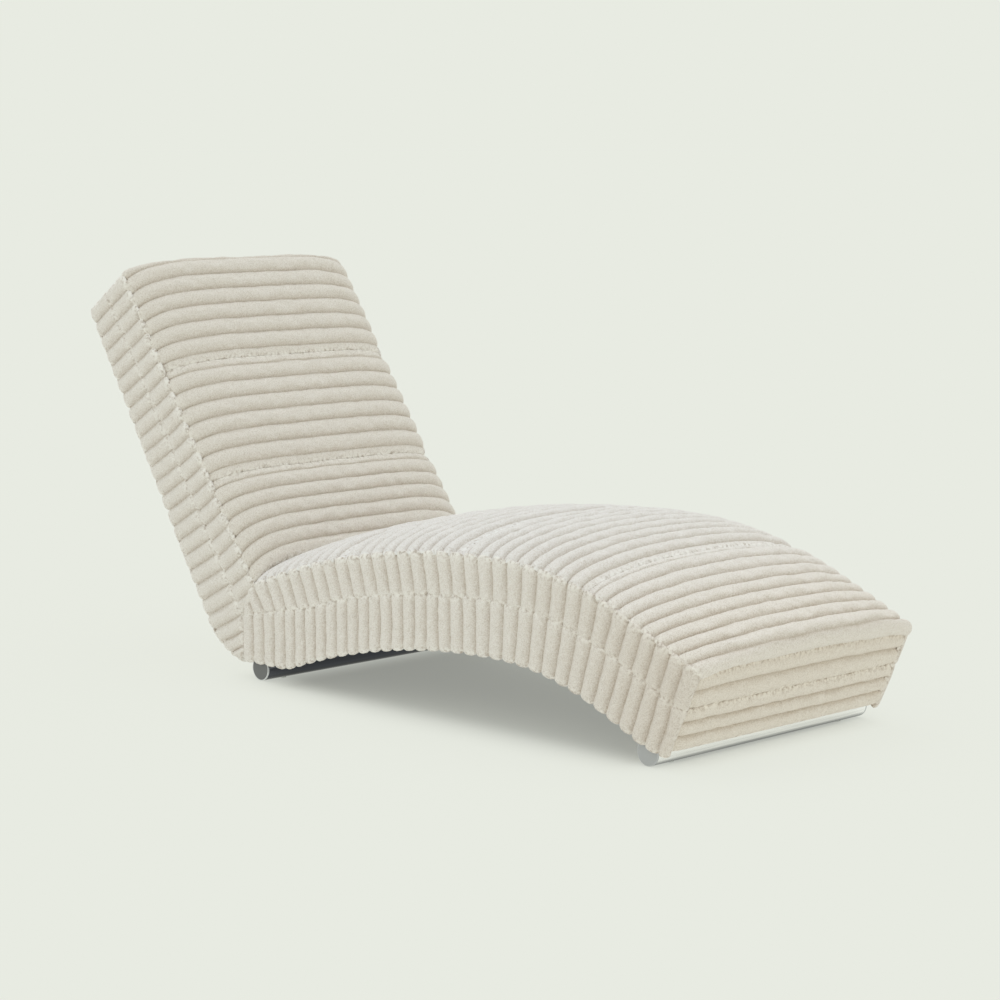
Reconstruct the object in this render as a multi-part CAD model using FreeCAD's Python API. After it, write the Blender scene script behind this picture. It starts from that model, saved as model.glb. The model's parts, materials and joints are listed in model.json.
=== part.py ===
"""Upholstered relaxation lounger: a ribbed plush body on two cross tubes, as separate pieces.

The side view is worked out first: one line follows the front seam of the back down to the
joint, and a second follows the top seam of the seat from the joint to the foot end.
Everything else is set off from those two lines: covers, foam, webbing, side frames and rails.
X points to the foot end, Y across the width, Z up. The floor is at Z zero, and the origin
is under the middle of the length and width. Lengths are in millimetres.
"""
import math
import os

import FreeCAD
import Part

# Feet
tube_length = 600.0
tube_diameter = 50.0
tube_wall = 1.5
front_tube_setback = 115.0
rear_tube_setforward = 10.0
cap_thickness = 3.0
plug_play = 0.1
glide_diameter = 14.0
glide_thickness = 1.0
glide_rise = 2.0
glide_inset = 60.0
glide_play = 0.05

# Side view of the body
seat_peak_reach = 364.0
seat_peak_height = 327.0
joint_height = 194.2
seat_end_height = 184.4
seat_rear_reach = 698.0
seat_front_fall = math.radians(24.07)
seat_front_straight = 169.0
back_slope = math.radians(55.4)
back_length = 759.0
seat_depth = 179.0
back_depth = 168.0
head_depth = 134.0
upper_band_depth = 75.0
front_band_depth = 66.0
corner_radius = 160.0
rear_hem_height = 42.0
front_hem_height = 30.0

# Ribs and covers
rib_height = 11.0
side_rib_height = 9.0
cover_base = 6.0
band_base = 3.0
hem_clearance = 1.0
soft_gap = 0.3
mitre_gap = 1.2
mitre_knee_setback = 36.0
mitre_knee_drop = 58.0
mitre_foot_edge = 12.0
seat_seam_ease = 150.0
back_seam_ease = 140.0
seat_crown = 50.0
back_crown = 48.0
end_crown = 5.0
foot_seam_drop = 9.0
foot_inset = 8.0
seat_seam_places = (285.0, 625.0, 955.0)
back_seam_places = (246.0, 512.0)
seat_section_ribs = (8, 9, 9, 8)
back_section_ribs = (6, 6, 6)
foot_upper_ribs = 2
foot_lower_ribs = 3
head_end_ribs = 4
rear_upright_ribs = 18
rear_corner_ribs = 6
upper_band_ribs = 35
lower_band_ribs = 36
back_front_band_ribs = 22
back_rear_band_ribs = 25
upper_rib_lean = math.radians(10)
rear_rib_turn = math.radians(10)

# Across the width, each row is a share of the half width and of the crown
# The outermost row is the side seam, where the ribs are gathered flat
seat_crown_shares = ((1.0, 0.0), (0.95, 0.26), (0.8, 0.58), (0.45, 0.89))
back_crown_shares = ((1.0, 0.0), (0.96, 0.38), (0.86, 0.68), (0.6, 0.94))
panel_shares = ((1.0, 0.0), (0.95, 1.0))
# Down a side band, each row is a share of the band's depth and of its base
band_shares = ((0.0, 0.5), (0.14, 1.0), (0.86, 1.0), (1.0, 0.5))
seam_rib_share = 0.5
half_share = 0.5
straight_share = 1e-6
flat_share = 1e-7
curve_steps = 400
rib_facets = 4
chords_per_section = 3

# Foam, webbing and linings
foam_depth = 62.0
foam_relief = 2.1
web_thickness = 2.0
web_width = 50.0
web_gap = 0.3
web_side_share = 0.95
seat_web_count = 9
back_web_count = 5
lining_thickness = 2.0
lining_depth = 168.0
rear_wadding = 12.0
end_wadding = 10.0

# Timber
ply_thickness = 18.0
side_pad_thickness = 12.0
rail_width = 60.0
rail_thickness = 25.0
foot_rail_width = 50.0
foot_rail_thickness = 22.0
joint_rail_width = 40.0
end_rail_width = 38.0
saddle_depth = 6.0
gusset_reach = 150.0
gusset_drop = 14.0
corner_block_leg = 38.0

# Fasteners
bolt_diameter = 8.0
bolt_head_diameter = 13.0
bolt_head_height = 6.0
bolt_inset = 95.0
bolt_grip = 12.0
hole_play = 0.5
joint_head_height = 5.0
joint_nut_height = 6.5
joint_bolt_share = 0.7
cut_overrun = 1.0

# Places worked out from the sizes
tube_radius = tube_diameter / 2
tube_axis_height = glide_thickness + tube_radius
tube_top = tube_axis_height + tube_radius
tube_bore_radius = tube_radius - tube_wall
pipe_half_length = tube_length / 2 - cap_thickness
skin_plane = tube_length / 2 + hem_clearance
cover_half_width = skin_plane - soft_gap
pad_outer = cover_half_width
ply_outer = pad_outer - side_pad_thickness
ply_inner = ply_outer - ply_thickness
gusset_inner = ply_inner - ply_thickness
ply_depth = foam_depth + web_thickness + 2 * web_gap
frame_floor = tube_top + soft_gap

# The seat line rises on one arc from the joint to its peak, then falls on another and runs straight
joint_x = seat_peak_reach - seat_rear_reach
rear_fall = seat_peak_height - joint_height
seat_rear_radius = (seat_rear_reach**2 + rear_fall**2) / (2 * rear_fall)
seat_rear_rise = math.asin(seat_rear_reach / seat_rear_radius)
front_fall = seat_peak_height - seat_end_height - seat_front_straight * math.sin(seat_front_fall)
seat_front_radius = front_fall / (1 - math.cos(seat_front_fall))
mitre_angle = (math.pi - back_slope + seat_rear_rise) / 2


def spot(x, y, z):
    """A point in space."""
    return FreeCAD.Vector(x, y, z)


class Run:
    """Straight and round stretches laid end to end in the side view, measured by distance.

    A rise is taken along the left-hand normal, which faces out of the upholstery.
    Distances before the start or past the end go on along the nearest stretch.
    """

    def __init__(self, x, z, heading):
        self.ends = [(0.0, x, z, heading)]
        self.bends = []

    def add(self, length, bend=0.0):
        """Lay one more stretch, whose bend is one over its radius, positive to the left."""
        self.bends.append(bend)
        start = self.ends[-1][0]
        x, z, heading = self.follow(len(self.bends) - 1, start + length)
        self.ends.append((start + length, x, z, heading))
        return self

    def follow(self, index, distance):
        """The point and heading at a distance on one stretch."""
        start, x, z, heading = self.ends[index]
        bend = self.bends[index]
        along = distance - start
        if bend == 0:
            return x + along * math.cos(heading), z + along * math.sin(heading), heading
        turned = heading + bend * along
        x += (math.sin(turned) - math.sin(heading)) / bend
        z -= (math.cos(turned) - math.cos(heading)) / bend
        return x, z, turned

    @property
    def length(self):
        return self.ends[-1][0]

    def heading(self, distance):
        """The direction of travel at a distance."""
        return self.follow(self.stretch(distance), distance)[2]

    def stretch(self, distance):
        """The index of the stretch that holds a distance."""
        index = 0
        while index < len(self.bends) - 1 and distance > self.ends[index + 1][0]:
            index += 1
        return index

    def at(self, distance, rise=0.0):
        """The side-view point at a distance, raised off the run."""
        x, z, heading = self.follow(self.stretch(distance), distance)
        return x - rise * math.sin(heading), z + rise * math.cos(heading)

    def breaks(self, low, high):
        """The distances where one stretch meets the next, between two limits."""
        inner = [end[0] for end in self.ends[1:-1] if low < end[0] < high]
        return [low] + inner + [high]


# The two seam lines, the rear outline, and the faces of the head end and foot end
seat_run = Run(joint_x, joint_height, seat_rear_rise)
seat_run.add(seat_rear_radius * seat_rear_rise, -1 / seat_rear_radius)
seat_run.add(seat_front_radius * seat_front_fall, -1 / seat_front_radius)
seat_run.add(seat_front_straight)
front_tube_reach = seat_run.at(seat_run.length)[0] - front_tube_setback
rear_tube_reach = joint_x + rear_tube_setforward
tube_places = {"front": front_tube_reach, "rear": rear_tube_reach}

head_x = joint_x - back_length * math.cos(back_slope)
head_z = joint_height + back_length * math.sin(back_slope)
back_run = Run(head_x, head_z, -back_slope)
back_run.add(back_length)

# The rear outline starts behind the rear tube, turns the bottom corner and climbs to the head
# The back is thinner at the head, so the outline is steeper than the front of the back
back_taper = math.atan((back_depth - head_depth) / back_length)
rear_slope = back_slope + back_taper
low_x, low_z = back_run.at(back_length, -back_depth)
corner_z = rear_hem_height + corner_radius
corner_x = low_x + (corner_radius - (corner_z - low_z) * math.cos(rear_slope)) / math.sin(rear_slope)
rear_start_x = rear_tube_reach - tube_radius - soft_gap
rear_run = Run(rear_start_x, rear_hem_height, math.pi)
rear_run.add(rear_start_x - corner_x)
rear_run.add(corner_radius * rear_slope, -1 / corner_radius)
rear_run.add(math.dist(rear_run.at(rear_run.length), back_run.at(0.0, -head_depth)))
rear_corner_end = rear_run.ends[2][0]

foot_x, foot_z = seat_run.at(seat_run.length - foot_inset, -foot_seam_drop)
foot_heading = seat_run.heading(seat_run.length) - math.pi / 2
foot_run = Run(foot_x, foot_z, foot_heading)
foot_run.add((foot_z - front_hem_height) / math.sin(-foot_heading))

head_end_depth = head_depth + foot_inset * math.tan(back_taper)
head_end_x, head_end_z = back_run.at(foot_inset, -head_end_depth)
head_end_run = Run(head_end_x, head_end_z, math.pi / 2 - back_slope)
head_end_run.add(head_end_depth - foot_seam_drop)


def depth_of_back(distance):
    """The depth of the back at a distance from the head."""
    return head_depth + distance * math.tan(back_taper)


def past_mitre(point):
    """How far a side-view point lies on the seat's side of the plane between back and seat."""
    across = (point[0] - joint_x) * math.sin(mitre_angle)
    return across - (point[1] - joint_height) * math.cos(mitre_angle)


def solve(measure, low, high):
    """The distance between two limits at which a measure passes through zero."""
    rising = measure(high) > measure(low)
    for _ in range(60):
        middle = (low + high) / 2
        if (measure(middle) > 0) == rising:
            high = middle
        else:
            low = middle
    return (low + high) / 2


def seat_start(rise):
    """Where the seat run, at a rise, clears the joint with the back."""
    return solve(lambda d: past_mitre(seat_run.at(d, rise)) - mitre_gap / 2, -seat_depth, seat_depth)


def back_end(rise):
    """Where the back run, at a rise, clears the joint with the seat."""
    reach = back_run.length
    return solve(
        lambda d: past_mitre(back_run.at(d, rise)) + mitre_gap / 2, reach - back_depth, reach + back_depth
    )


def fixed(distance):
    """A limit that is the same at every rise."""
    return lambda rise: distance


def mitre_corners(side):
    """The seam between back and seat on a side of the body, its joint, knee and foot; 1 is the seat's edge."""
    x = joint_x + side * mitre_gap / 2
    knee = (x - mitre_knee_setback, joint_height - mitre_knee_drop)
    return (x, joint_height), knee, (knee[0], rear_hem_height)


# Small shape helpers
def lift(point, y):
    """A side-view point placed across the width."""
    return spot(point[0], y, point[1])


def segment(a, b):
    """A straight edge."""
    return Part.LineSegment(a, b).toShape()


def curve(a, middle, b):
    """An arc through three points, or a straight edge where they are in line."""
    bow = (b - a).cross(middle - a).Length
    if bow < (b - a).Length ** 2 * straight_share:
        return segment(a, b)
    return Part.Arc(a, middle, b).toShape()


def run_edge(run, low, high, rise, y):
    """The edge that follows a run at a rise between two distances."""
    middle = lift(run.at((low + high) / 2, rise), y)
    return curve(lift(run.at(low, rise), y), middle, lift(run.at(high, rise), y))


def arch_steps(height, chord):
    """Shares along and above a chord for the points of a round arch over it, its feet left out."""
    radius = (height**2 + (chord / 2) ** 2) / (2 * height)
    half_angle = math.asin(min(chord / 2 / radius, 1.0))
    steps = []
    for k in range(1, rib_facets):
        angle = half_angle * (2 * k / rib_facets - 1)
        along = half_share + radius * math.sin(angle) / chord
        steps.append((along, (radius * math.cos(angle) - radius + height) / height))
    return steps


def rib(a, b, height):
    """Side-view points over one rib, swelling to the left of the way it is drawn."""
    chord = math.dist(a, b)
    out_x = -(b[1] - a[1]) / chord * height
    out_z = (b[0] - a[0]) / chord * height
    points = [a]
    for along, up in arch_steps(height, chord):
        x, z = between(a, b, along)
        points.append((x + out_x * up, z + out_z * up))
    return points


def run_points(run, low, high, rise):
    """Side-view points that follow a run at a rise, the last one left out."""
    step = (high - low) / chords_per_section
    return [run.at(low + step * k, rise) for k in range(chords_per_section)]


def closed_solid(faces):
    """A solid sewn from faces that meet all round."""
    shell = Part.makeShell(faces)
    shell.sewShape()
    solid = Part.Solid(shell)
    if solid.Volume < 0:
        solid.reverse()
    return solid


def flat_face(points):
    """A flat face with these corners."""
    return Part.Face(Part.makePolygon(points + points[:1]))


def ruled_faces(near, far):
    """Faces between two matching rows of points: one flat face a side, or two where it is twisted."""
    faces = []
    for a, b, c, d in zip(near, near[1:], far, far[1:]):
        normal = (b - a).cross(c - a)
        if abs(normal.dot(d - a)) < flat_share * normal.Length * (d - a).Length:
            faces.append(flat_face([a, b, d, c]))
        else:
            faces += [flat_face([a, b, c]), flat_face([b, d, c])]
    return faces


def ruled_solid(loops):
    """A solid ruled through loops of matching points, closed by a flat face at each end."""
    closed = [loop + loop[:1] for loop in loops]
    faces = [flat_face(loops[0]), flat_face(loops[-1])]
    for near, far in zip(closed, closed[1:]):
        faces += ruled_faces(near, far)
    return closed_solid(faces)


def gathered_faces(grooves, arches):
    """Flat faces that gather each arched rib to the ends of its two grooves."""
    half = rib_facets // 2
    faces = []
    for k, (a, b) in enumerate(zip(grooves, grooves[1:])):
        arch = arches[k * rib_facets : (k + 1) * rib_facets + 1]
        faces += [flat_face([a, c, d]) for c, d in zip(arch[:half], arch[1:])]
        faces.append(flat_face([a, arch[half], b]))
        faces += [flat_face([b, c, d]) for c, d in zip(arch[half:], arch[half + 1 :])]
    return faces


def mirrored_rows(shares):
    """Rows from one side to the other, from shares given for one side."""
    return [(-width, rise) for width, rise in shares] + list(reversed(shares))


def strip(run, start, end, rise_low, rise_high, y_low, y_high):
    """A flat-sided slab that follows a run between two rises, extruded across the width."""
    edges = []
    for rise, forward in ((rise_high, True), (rise_low, False)):
        places = run.breaks(start(rise), end(rise))
        pairs = list(zip(places, places[1:]))
        if not forward:
            pairs = [(b, a) for a, b in reversed(pairs)]
        edges += [run_edge(run, a, b, rise, y_low) for a, b in pairs]
    corners = [
        (run.at(end(rise_high), rise_high), run.at(end(rise_low), rise_low)),
        (run.at(start(rise_low), rise_low), run.at(start(rise_high), rise_high)),
    ]
    edges += [segment(lift(a, y_low), lift(b, y_low)) for a, b in corners]
    face = Part.Face(Part.Wire(Part.__sortEdges__(edges)))
    return face.extrude(spot(0, y_high - y_low, 0))


def outline_plate(points, y_low, y_high):
    """A flat plate from side-view points."""
    wire = Part.makePolygon([lift(p, y_low) for p in points + points[:1]])
    return Part.Face(wire).extrude(spot(0, y_high - y_low, 0))


def beside(run, distance, forward, rise):
    """A side-view point reached from the run by going straight forward and then out."""
    x, z = run.at(distance)
    heading = run.heading(distance)
    x += forward * math.cos(heading) - rise * math.sin(heading)
    z += forward * math.sin(heading) + rise * math.cos(heading)
    return x, z


def board(run, distance, along, rise_low, rise_high, y_low, y_high):
    """A straight board square to a run, with its middle at a distance."""
    corners = [(-along / 2, rise_low), (along / 2, rise_low), (along / 2, rise_high), (-along / 2, rise_high)]
    return outline_plate([beside(run, distance, f, r) for f, r in corners], y_low, y_high)


def rod(x, z, radius, y_low, y_high):
    """A cylinder across the width."""
    return Part.makeCylinder(radius, y_high - y_low, spot(x, y_low, z), spot(0, 1, 0))


def post(x, y, radius, z_low, z_high):
    """An upright cylinder."""
    return Part.makeCylinder(radius, z_high - z_low, spot(x, y, z_low))


def above(shape, height):
    """The part of a shape that lies over a height."""
    box = shape.BoundBox
    low = min(box.ZMin, height) - cut_overrun
    size = spot(box.XLength + 2 * cut_overrun, box.YLength + 2 * cut_overrun, height - low)
    corner = spot(box.XMin - cut_overrun, box.YMin - cut_overrun, low)
    return shape.cut(Part.makeBox(size.x, size.y, size.z, corner))


def inside_rear(shape, inset):
    """The part of a shape that stays inside the rear outline by an inset."""
    box = shape.BoundBox
    y_low, y_high = box.YMin - cut_overrun, box.YMax + cut_overrun
    last = rear_run.length + back_depth
    places = rear_run.breaks(0.0, last)
    edges = [run_edge(rear_run, a, b, -inset, y_low) for a, b in zip(places, places[1:])]
    top = rear_run.at(last, -inset)
    bottom = rear_run.at(0.0, -inset)
    corners = [top, (front_tube_reach, top[1]), (front_tube_reach, bottom[1]), bottom]
    edges += [segment(lift(a, y_low), lift(b, y_low)) for a, b in zip(corners, corners[1:])]
    region = Part.Face(Part.Wire(edges)).extrude(spot(0, y_high - y_low, 0))
    return shape.common(region)


def both_sides(name, make):
    """The right-hand and left-hand piece of a pair, the right one at negative Y."""
    right = make()
    left = right.mirror(spot(0, 0, 0), spot(0, 1, 0))
    return {name + "_right": right, name + "_left": left}


# Feet
def foot_tube(x):
    """A chromed tube with threaded holes in its top wall."""
    tube = rod(x, tube_axis_height, tube_radius, -pipe_half_length, pipe_half_length)
    bore_end = pipe_half_length + cut_overrun
    tube = tube.cut(rod(x, tube_axis_height, tube_bore_radius, -bore_end, bore_end))
    for y in bolt_places:
        radius = bolt_diameter / 2 + plug_play
        tube = tube.cut(post(x, y, radius, tube_axis_height, tube_top + cut_overrun))
    return tube


def tube_cap(x, side):
    """A flat plate that closes one end of a tube."""
    near = pipe_half_length if side > 0 else -tube_length / 2
    return rod(x, tube_axis_height, tube_radius, near, near + cap_thickness)


def floor_glide(x, y):
    """A low pad shaped to the underside of the tube."""
    pad = post(x, y, glide_diameter / 2, 0, glide_thickness + glide_rise)
    seat_radius = tube_radius + glide_play
    return pad.cut(rod(x, tube_axis_height, seat_radius, y - glide_diameter, y + glide_diameter))


def tube_bolt(x, y):
    """A bolt through a foot rail, its six-sided head on the rail and its end in the tube."""
    head = six_sided(spot(x, y, foot_rail_top), spot(0, 0, 1), bolt_head_height)
    return head.fuse(post(x, y, bolt_diameter / 2, tube_top - bolt_grip, foot_rail_top))


def six_sided(centre, axis, height):
    """A bolt head or nut body standing on a point along an axis."""
    side = spot(0, bolt_head_diameter / 2, 0)
    turn = FreeCAD.Rotation(axis, 60)
    corners = []
    for _ in range(6):
        corners.append(centre + side)
        side = turn.multVec(side)
    return flat_face(corners).extrude(axis * height)


def foot_rail(x):
    """A timber over a tube, hollowed below to seat it and bored for the bolts."""
    low = tube_top - saddle_depth
    corner = spot(x - foot_rail_width / 2, -ply_inner, low)
    rail = Part.makeBox(foot_rail_width, 2 * ply_inner, foot_rail_top - low, corner)
    end = ply_inner + cut_overrun
    rail = rail.cut(rod(x, tube_axis_height, tube_radius + soft_gap, -end, end))
    for y in bolt_places:
        radius = (bolt_diameter + hole_play) / 2
        rail = rail.cut(post(x, y, radius, low, foot_rail_top + cut_overrun))
    return rail


# Frame
def seat_side_frame():
    """A curved plywood side, cut flat where it stands on the tubes."""
    end = fixed(seat_frame_end)
    frame = strip(seat_run, seat_start, end, -lining_depth + soft_gap, -ply_depth, -ply_outer, -ply_inner)
    return above(frame, frame_floor)


def back_side_frame():
    """A straight plywood side, rounded with the corner of the body and cut flat below."""
    start = fixed(back_frame_start)
    frame = strip(back_run, start, back_end, -back_ply_depth, -ply_depth, -ply_outer, -ply_inner)
    return above(inside_rear(frame, back_depth - back_ply_depth), frame_floor)


def joint_gusset():
    """A plywood plate glued across the joint between the back side and the seat side."""
    high = -ply_depth - gusset_drop
    back_reach = back_run.length - gusset_reach
    inner_corner = seat_run.at(seat_start(high), high)
    points = [
        back_run.at(back_reach, high),
        inner_corner,
        seat_run.at(gusset_reach, high),
        seat_run.at(gusset_reach, -lining_depth + gusset_drop),
        seat_run.at(seat_start(-lining_depth), -lining_depth),
        back_run.at(back_reach, -back_ply_depth + gusset_drop),
    ]
    plate = outline_plate(points, -ply_inner, -gusset_inner)
    trimmed = inside_rear(plate, back_depth - back_ply_depth + gusset_drop)
    return above(trimmed, foot_rail_top + soft_gap)


def joint_rail(side):
    """One of two timbers that face each other across the joint; positive is the seat's."""
    top = -ply_depth / math.sin(mitre_half)
    down = (math.cos(mitre_angle), math.sin(mitre_angle))
    away = (math.sin(mitre_angle), -math.cos(mitre_angle))
    points = []
    for along, off in ((top, 0), (top, 1), (top - joint_rail_width, 1), (top - joint_rail_width, 0)):
        out = side * (soft_gap / 2 + off * rail_thickness)
        points.append((joint_x + along * down[0] + out * away[0], joint_height + along * down[1] + out * away[1]))
    rail = outline_plate(points, -gusset_inner, gusset_inner)
    for y in joint_bolt_places:
        rail = rail.cut(joint_rod(y, (bolt_diameter + hole_play) / 2, -2 * rail_thickness, 2 * rail_thickness))
    return rail


def joint_place(y, off):
    """The point on a joint bolt's axis at a distance from the joint plane."""
    middle = -ply_depth / math.sin(mitre_half) - joint_rail_width / 2
    x = joint_x + middle * math.cos(mitre_angle)
    z = joint_height + middle * math.sin(mitre_angle)
    return spot(x, y, z) + joint_axis * off


def joint_rod(y, radius, low, high):
    """A cylinder square to the joint plane, between two distances from it."""
    return Part.makeCylinder(radius, high - low, joint_place(y, low), joint_axis)


def joint_bolt(y):
    """A bolt through both joint timbers, its head on the back's side."""
    face = rail_thickness + soft_gap / 2
    shank = joint_rod(y, bolt_diameter / 2, -face, face + joint_nut_height + bolt_diameter / 2)
    return shank.fuse(six_sided(joint_place(y, -face), joint_axis * -1, joint_head_height))


def joint_nut(y):
    """A nut on the seat's side of the joint."""
    face = rail_thickness + soft_gap / 2
    nut = six_sided(joint_place(y, face), joint_axis, joint_nut_height)
    radius = bolt_diameter / 2 + plug_play
    return nut.cut(joint_rod(y, radius, face - cut_overrun, face + joint_nut_height + cut_overrun))


def flat_rail(run, distance, rise_low):
    """A timber laid flat between the side frames."""
    return board(run, distance, rail_width, rise_low, rise_low + rail_thickness, -ply_inner, ply_inner)


def corner_block(run, distance, rise_low, side):
    """A three-cornered block glued into the angle between a rail and a side frame."""
    corner = lift(beside(run, distance, rail_width / 2, rise_low), side * ply_inner)
    forward = spot(math.cos(run.heading(distance)), 0, math.sin(run.heading(distance)))
    up = spot(-forward.z, 0, forward.x)
    wall = corner - spot(0, side * corner_block_leg, 0)
    points = [corner, corner + forward * corner_block_leg, wall, corner]
    return Part.Face(Part.makePolygon(points)).extrude(up * rail_thickness)


# Springing and filling
def web(run, distance):
    """One elastic strap across the side frames."""
    top = -foam_depth - web_gap / 2
    reach = ply_outer * web_side_share
    return board(run, distance, web_width, top - web_thickness, top, -reach, reach)


def foam(run, start, end, seams, shares, crown):
    """A foam slab with a flat bottom and a crowned top, in step with the seams of the cover."""
    loops = []
    for width, rise_share in mirrored_rows(shares):
        y = width * cover_half_width
        top = crown * rise_share - cover_base - soft_gap
        points = []
        places = [start(top)] + list(seams) + [end(top)]
        for a, b in zip(places, places[1:]):
            points += run_points(run, a, b, top)
        points.append(run.at(places[-1], top))
        bottom = foam_relief - foam_depth
        places = [end(bottom)] + list(seams)[::-1] + [start(bottom)]
        for a, b in zip(places, places[1:]):
            points += run_points(run, a, b, bottom)
        points.append(run.at(places[-1], bottom))
        loops.append([lift(p, y) for p in points])
    return ruled_solid(loops)


def seat_side_pad():
    """Thin wadding on the outside of the seat's side frame."""
    end = fixed(seat_frame_end)
    low, high = -lining_depth + soft_gap, -foam_depth - soft_gap
    pad = strip(seat_run, seat_start, end, low, high, -pad_outer, -ply_outer - soft_gap)
    return above(pad, frame_floor)


def back_side_pad():
    """Thin wadding on the outside of the back's side frame."""
    start = fixed(back_frame_start)
    low, high = -back_ply_depth, -foam_depth - soft_gap
    pad = strip(back_run, start, back_end, low, high, -pad_outer, -ply_outer - soft_gap)
    return above(inside_rear(pad, back_depth - back_ply_depth), frame_floor)


def rear_wadding_sheet():
    """Wadding between the upright rear edge of the frame and the rear cover."""
    high = -cover_base - soft_gap
    low = high - rear_wadding
    end = fixed(rear_run.length - foot_inset - cover_base - soft_gap)
    return strip(rear_run, fixed(rear_corner_end), end, low, high, -pad_outer, pad_outer)


def end_wadding_sheet(run, start, end):
    """Wadding behind the cover of the foot end or of the head end."""
    high = -cover_base - soft_gap
    return strip(run, fixed(start), fixed(end), high - end_wadding, high, -pad_outer, pad_outer)


# Covers
def cover(run, start, end, ribs, shares, crown, half_width, wraps=(False, False)):
    """A ribbed cover panel: arcs along the run, ruled across the width through crowned rows.

    A panel that wraps an end turns its last rib down over that end to the seam below.
    """
    total = sum(ribs)
    rows = []
    for width, rise_share in mirrored_rows(shares):
        rise = crown * rise_share
        under = rise - cover_base
        low, high = start(rise), end(rise)
        places = [low + (high - low) * sum(ribs[:k]) / total for k in range(len(ribs) + 1)]
        grooves = [run.at(place, rise) for place in places]
        heights = [rib_height * rib_width**2 for rib_width in ribs]
        inner_low, inner_high = start(under), end(under)
        first, last = [], []
        if wraps[0]:
            grooves.insert(0, run.at(low + foot_inset, -foot_seam_drop))
            heights.insert(0, rib_height)
            inner_low = low + foot_inset + cover_base
            first = [run.at(inner_low, -foot_seam_drop)]
        if wraps[1]:
            grooves.append(run.at(high - foot_inset, -foot_seam_drop))
            heights.append(rib_height)
            inner_high = high - foot_inset - cover_base
            last = [run.at(inner_high, -foot_seam_drop)]
        arches = []
        for a, b, height in zip(grooves, grooves[1:], heights):
            arches += rib(a, b, height)
        arches.append(grooves[-1])
        lining = last + run_points(run, inner_high, inner_low, under)
        lining += [run.at(inner_low, under)] + first
        rows.append([[lift(p, width * half_width) for p in line] for line in (grooves, arches, lining)])
    faces = []
    for grooves, _, lining in (rows[0], rows[-1]):
        faces.append(flat_face(grooves + lining))
    for near, far in zip(rows, rows[1:]):
        ends = [[row[0][-1]] + row[2] + [row[0][0]] for row in (near, far)]
        faces += ruled_faces(*ends)
        if near is rows[0]:
            faces += gathered_faces(near[0], far[1])
        elif far is rows[-1]:
            faces += gathered_faces(far[0], near[1])
        else:
            faces += ruled_faces(near[1], far[1])
    return closed_solid(faces)


def stitched_ribs(count, after_seam, before_seam):
    """Rib widths of one section, with half a rib beside each stitched seam."""
    return [seam_rib_share] * after_seam + [1.0] * count + [seam_rib_share] * before_seam


def seat_covers():
    """The four sewn sections of the seat cover, from the joint to the foot end."""
    names = ("rear", "middle_rear", "middle_front", "front")
    covers = {}
    for k, name in enumerate(names):
        start = seat_start if k == 0 else fixed(seat_seam_places[k - 1] + soft_gap / 2)
        last = k == len(names) - 1
        end = fixed(seat_run.length) if last else fixed(seat_seam_places[k] - soft_gap / 2)
        ribs = stitched_ribs(seat_section_ribs[k], k > 0, not last)
        covers["seat_cover_" + name] = cover(
            seat_run, start, end, ribs, seat_crown_shares, seat_crown, cover_half_width, (False, last)
        )
    return covers


def back_covers():
    """The three sewn sections of the back cover, from the head end to the joint."""
    names = ("head", "middle", "lumbar")
    covers = {}
    for k, name in enumerate(names):
        start = fixed(0.0) if k == 0 else fixed(back_seam_places[k - 1] + soft_gap / 2)
        last = k == len(names) - 1
        end = back_end if last else fixed(back_seam_places[k] - soft_gap / 2)
        ribs = stitched_ribs(back_section_ribs[k], k > 0, not last)
        covers["back_cover_" + name] = cover(
            back_run, start, end, ribs, back_crown_shares, back_crown, cover_half_width, (k == 0, False)
        )
    return covers


def end_covers():
    """The panels that close the foot end, the head end and the rear of the back."""
    parts = {}
    mid_seam = foot_run.length * foot_upper_ribs / (foot_upper_ribs + foot_lower_ribs)
    rear_middle = rear_corner_end
    panels = (
        ("foot_end_cover_upper", foot_run, soft_gap, mid_seam - soft_gap / 2, foot_upper_ribs),
        ("foot_end_cover_lower", foot_run, mid_seam + soft_gap / 2, foot_run.length, foot_lower_ribs),
        ("head_end_cover", head_end_run, cover_base + 2 * soft_gap, head_end_run.length - soft_gap, head_end_ribs),
        ("rear_cover_lower", rear_run, foot_rail_width / 2, rear_middle - soft_gap / 2, rear_corner_ribs),
        ("rear_cover_upper", rear_run, rear_middle + soft_gap / 2, rear_run.length, rear_upright_ribs),
    )
    for name, run, low, high, count in panels:
        parts[name] = cover(
            run, fixed(low), fixed(high), [1.0] * count, panel_shares, end_crown, cover_half_width
        )
    return parts


def fine_line(place, low, high):
    """Closely spaced side-view points along a curve."""
    return [place(low + (high - low) * k / curve_steps) for k in range(curve_steps + 1)]


def even_points(line, count):
    """Side-view points at even spacing along a fine line, as many as there are grooves."""
    run_up = [0.0]
    for a, b in zip(line, line[1:]):
        run_up.append(run_up[-1] + math.dist(a, b))
    points = []
    k = 0
    for step in range(count + 1):
        want = run_up[-1] * step / count
        while k < len(line) - 2 and run_up[k + 1] < want:
            k += 1
        share = (want - run_up[k]) / (run_up[k + 1] - run_up[k])
        points.append(between(line[k], line[k + 1], share))
    return points


def crossing(line, point, lean):
    """Where a fine line is crossed from a side-view point along a lean from upright."""
    sides = [(p[0] - point[0]) * math.cos(lean) + (p[1] - point[1]) * math.sin(lean) for p in line]
    for a, b, near, far in zip(line, line[1:], sides, sides[1:]):
        if near <= 0 < far or far <= 0 < near:
            return between(a, b, near / (near - far))
    return line[0] if abs(sides[0]) < abs(sides[-1]) else line[-1]


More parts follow.
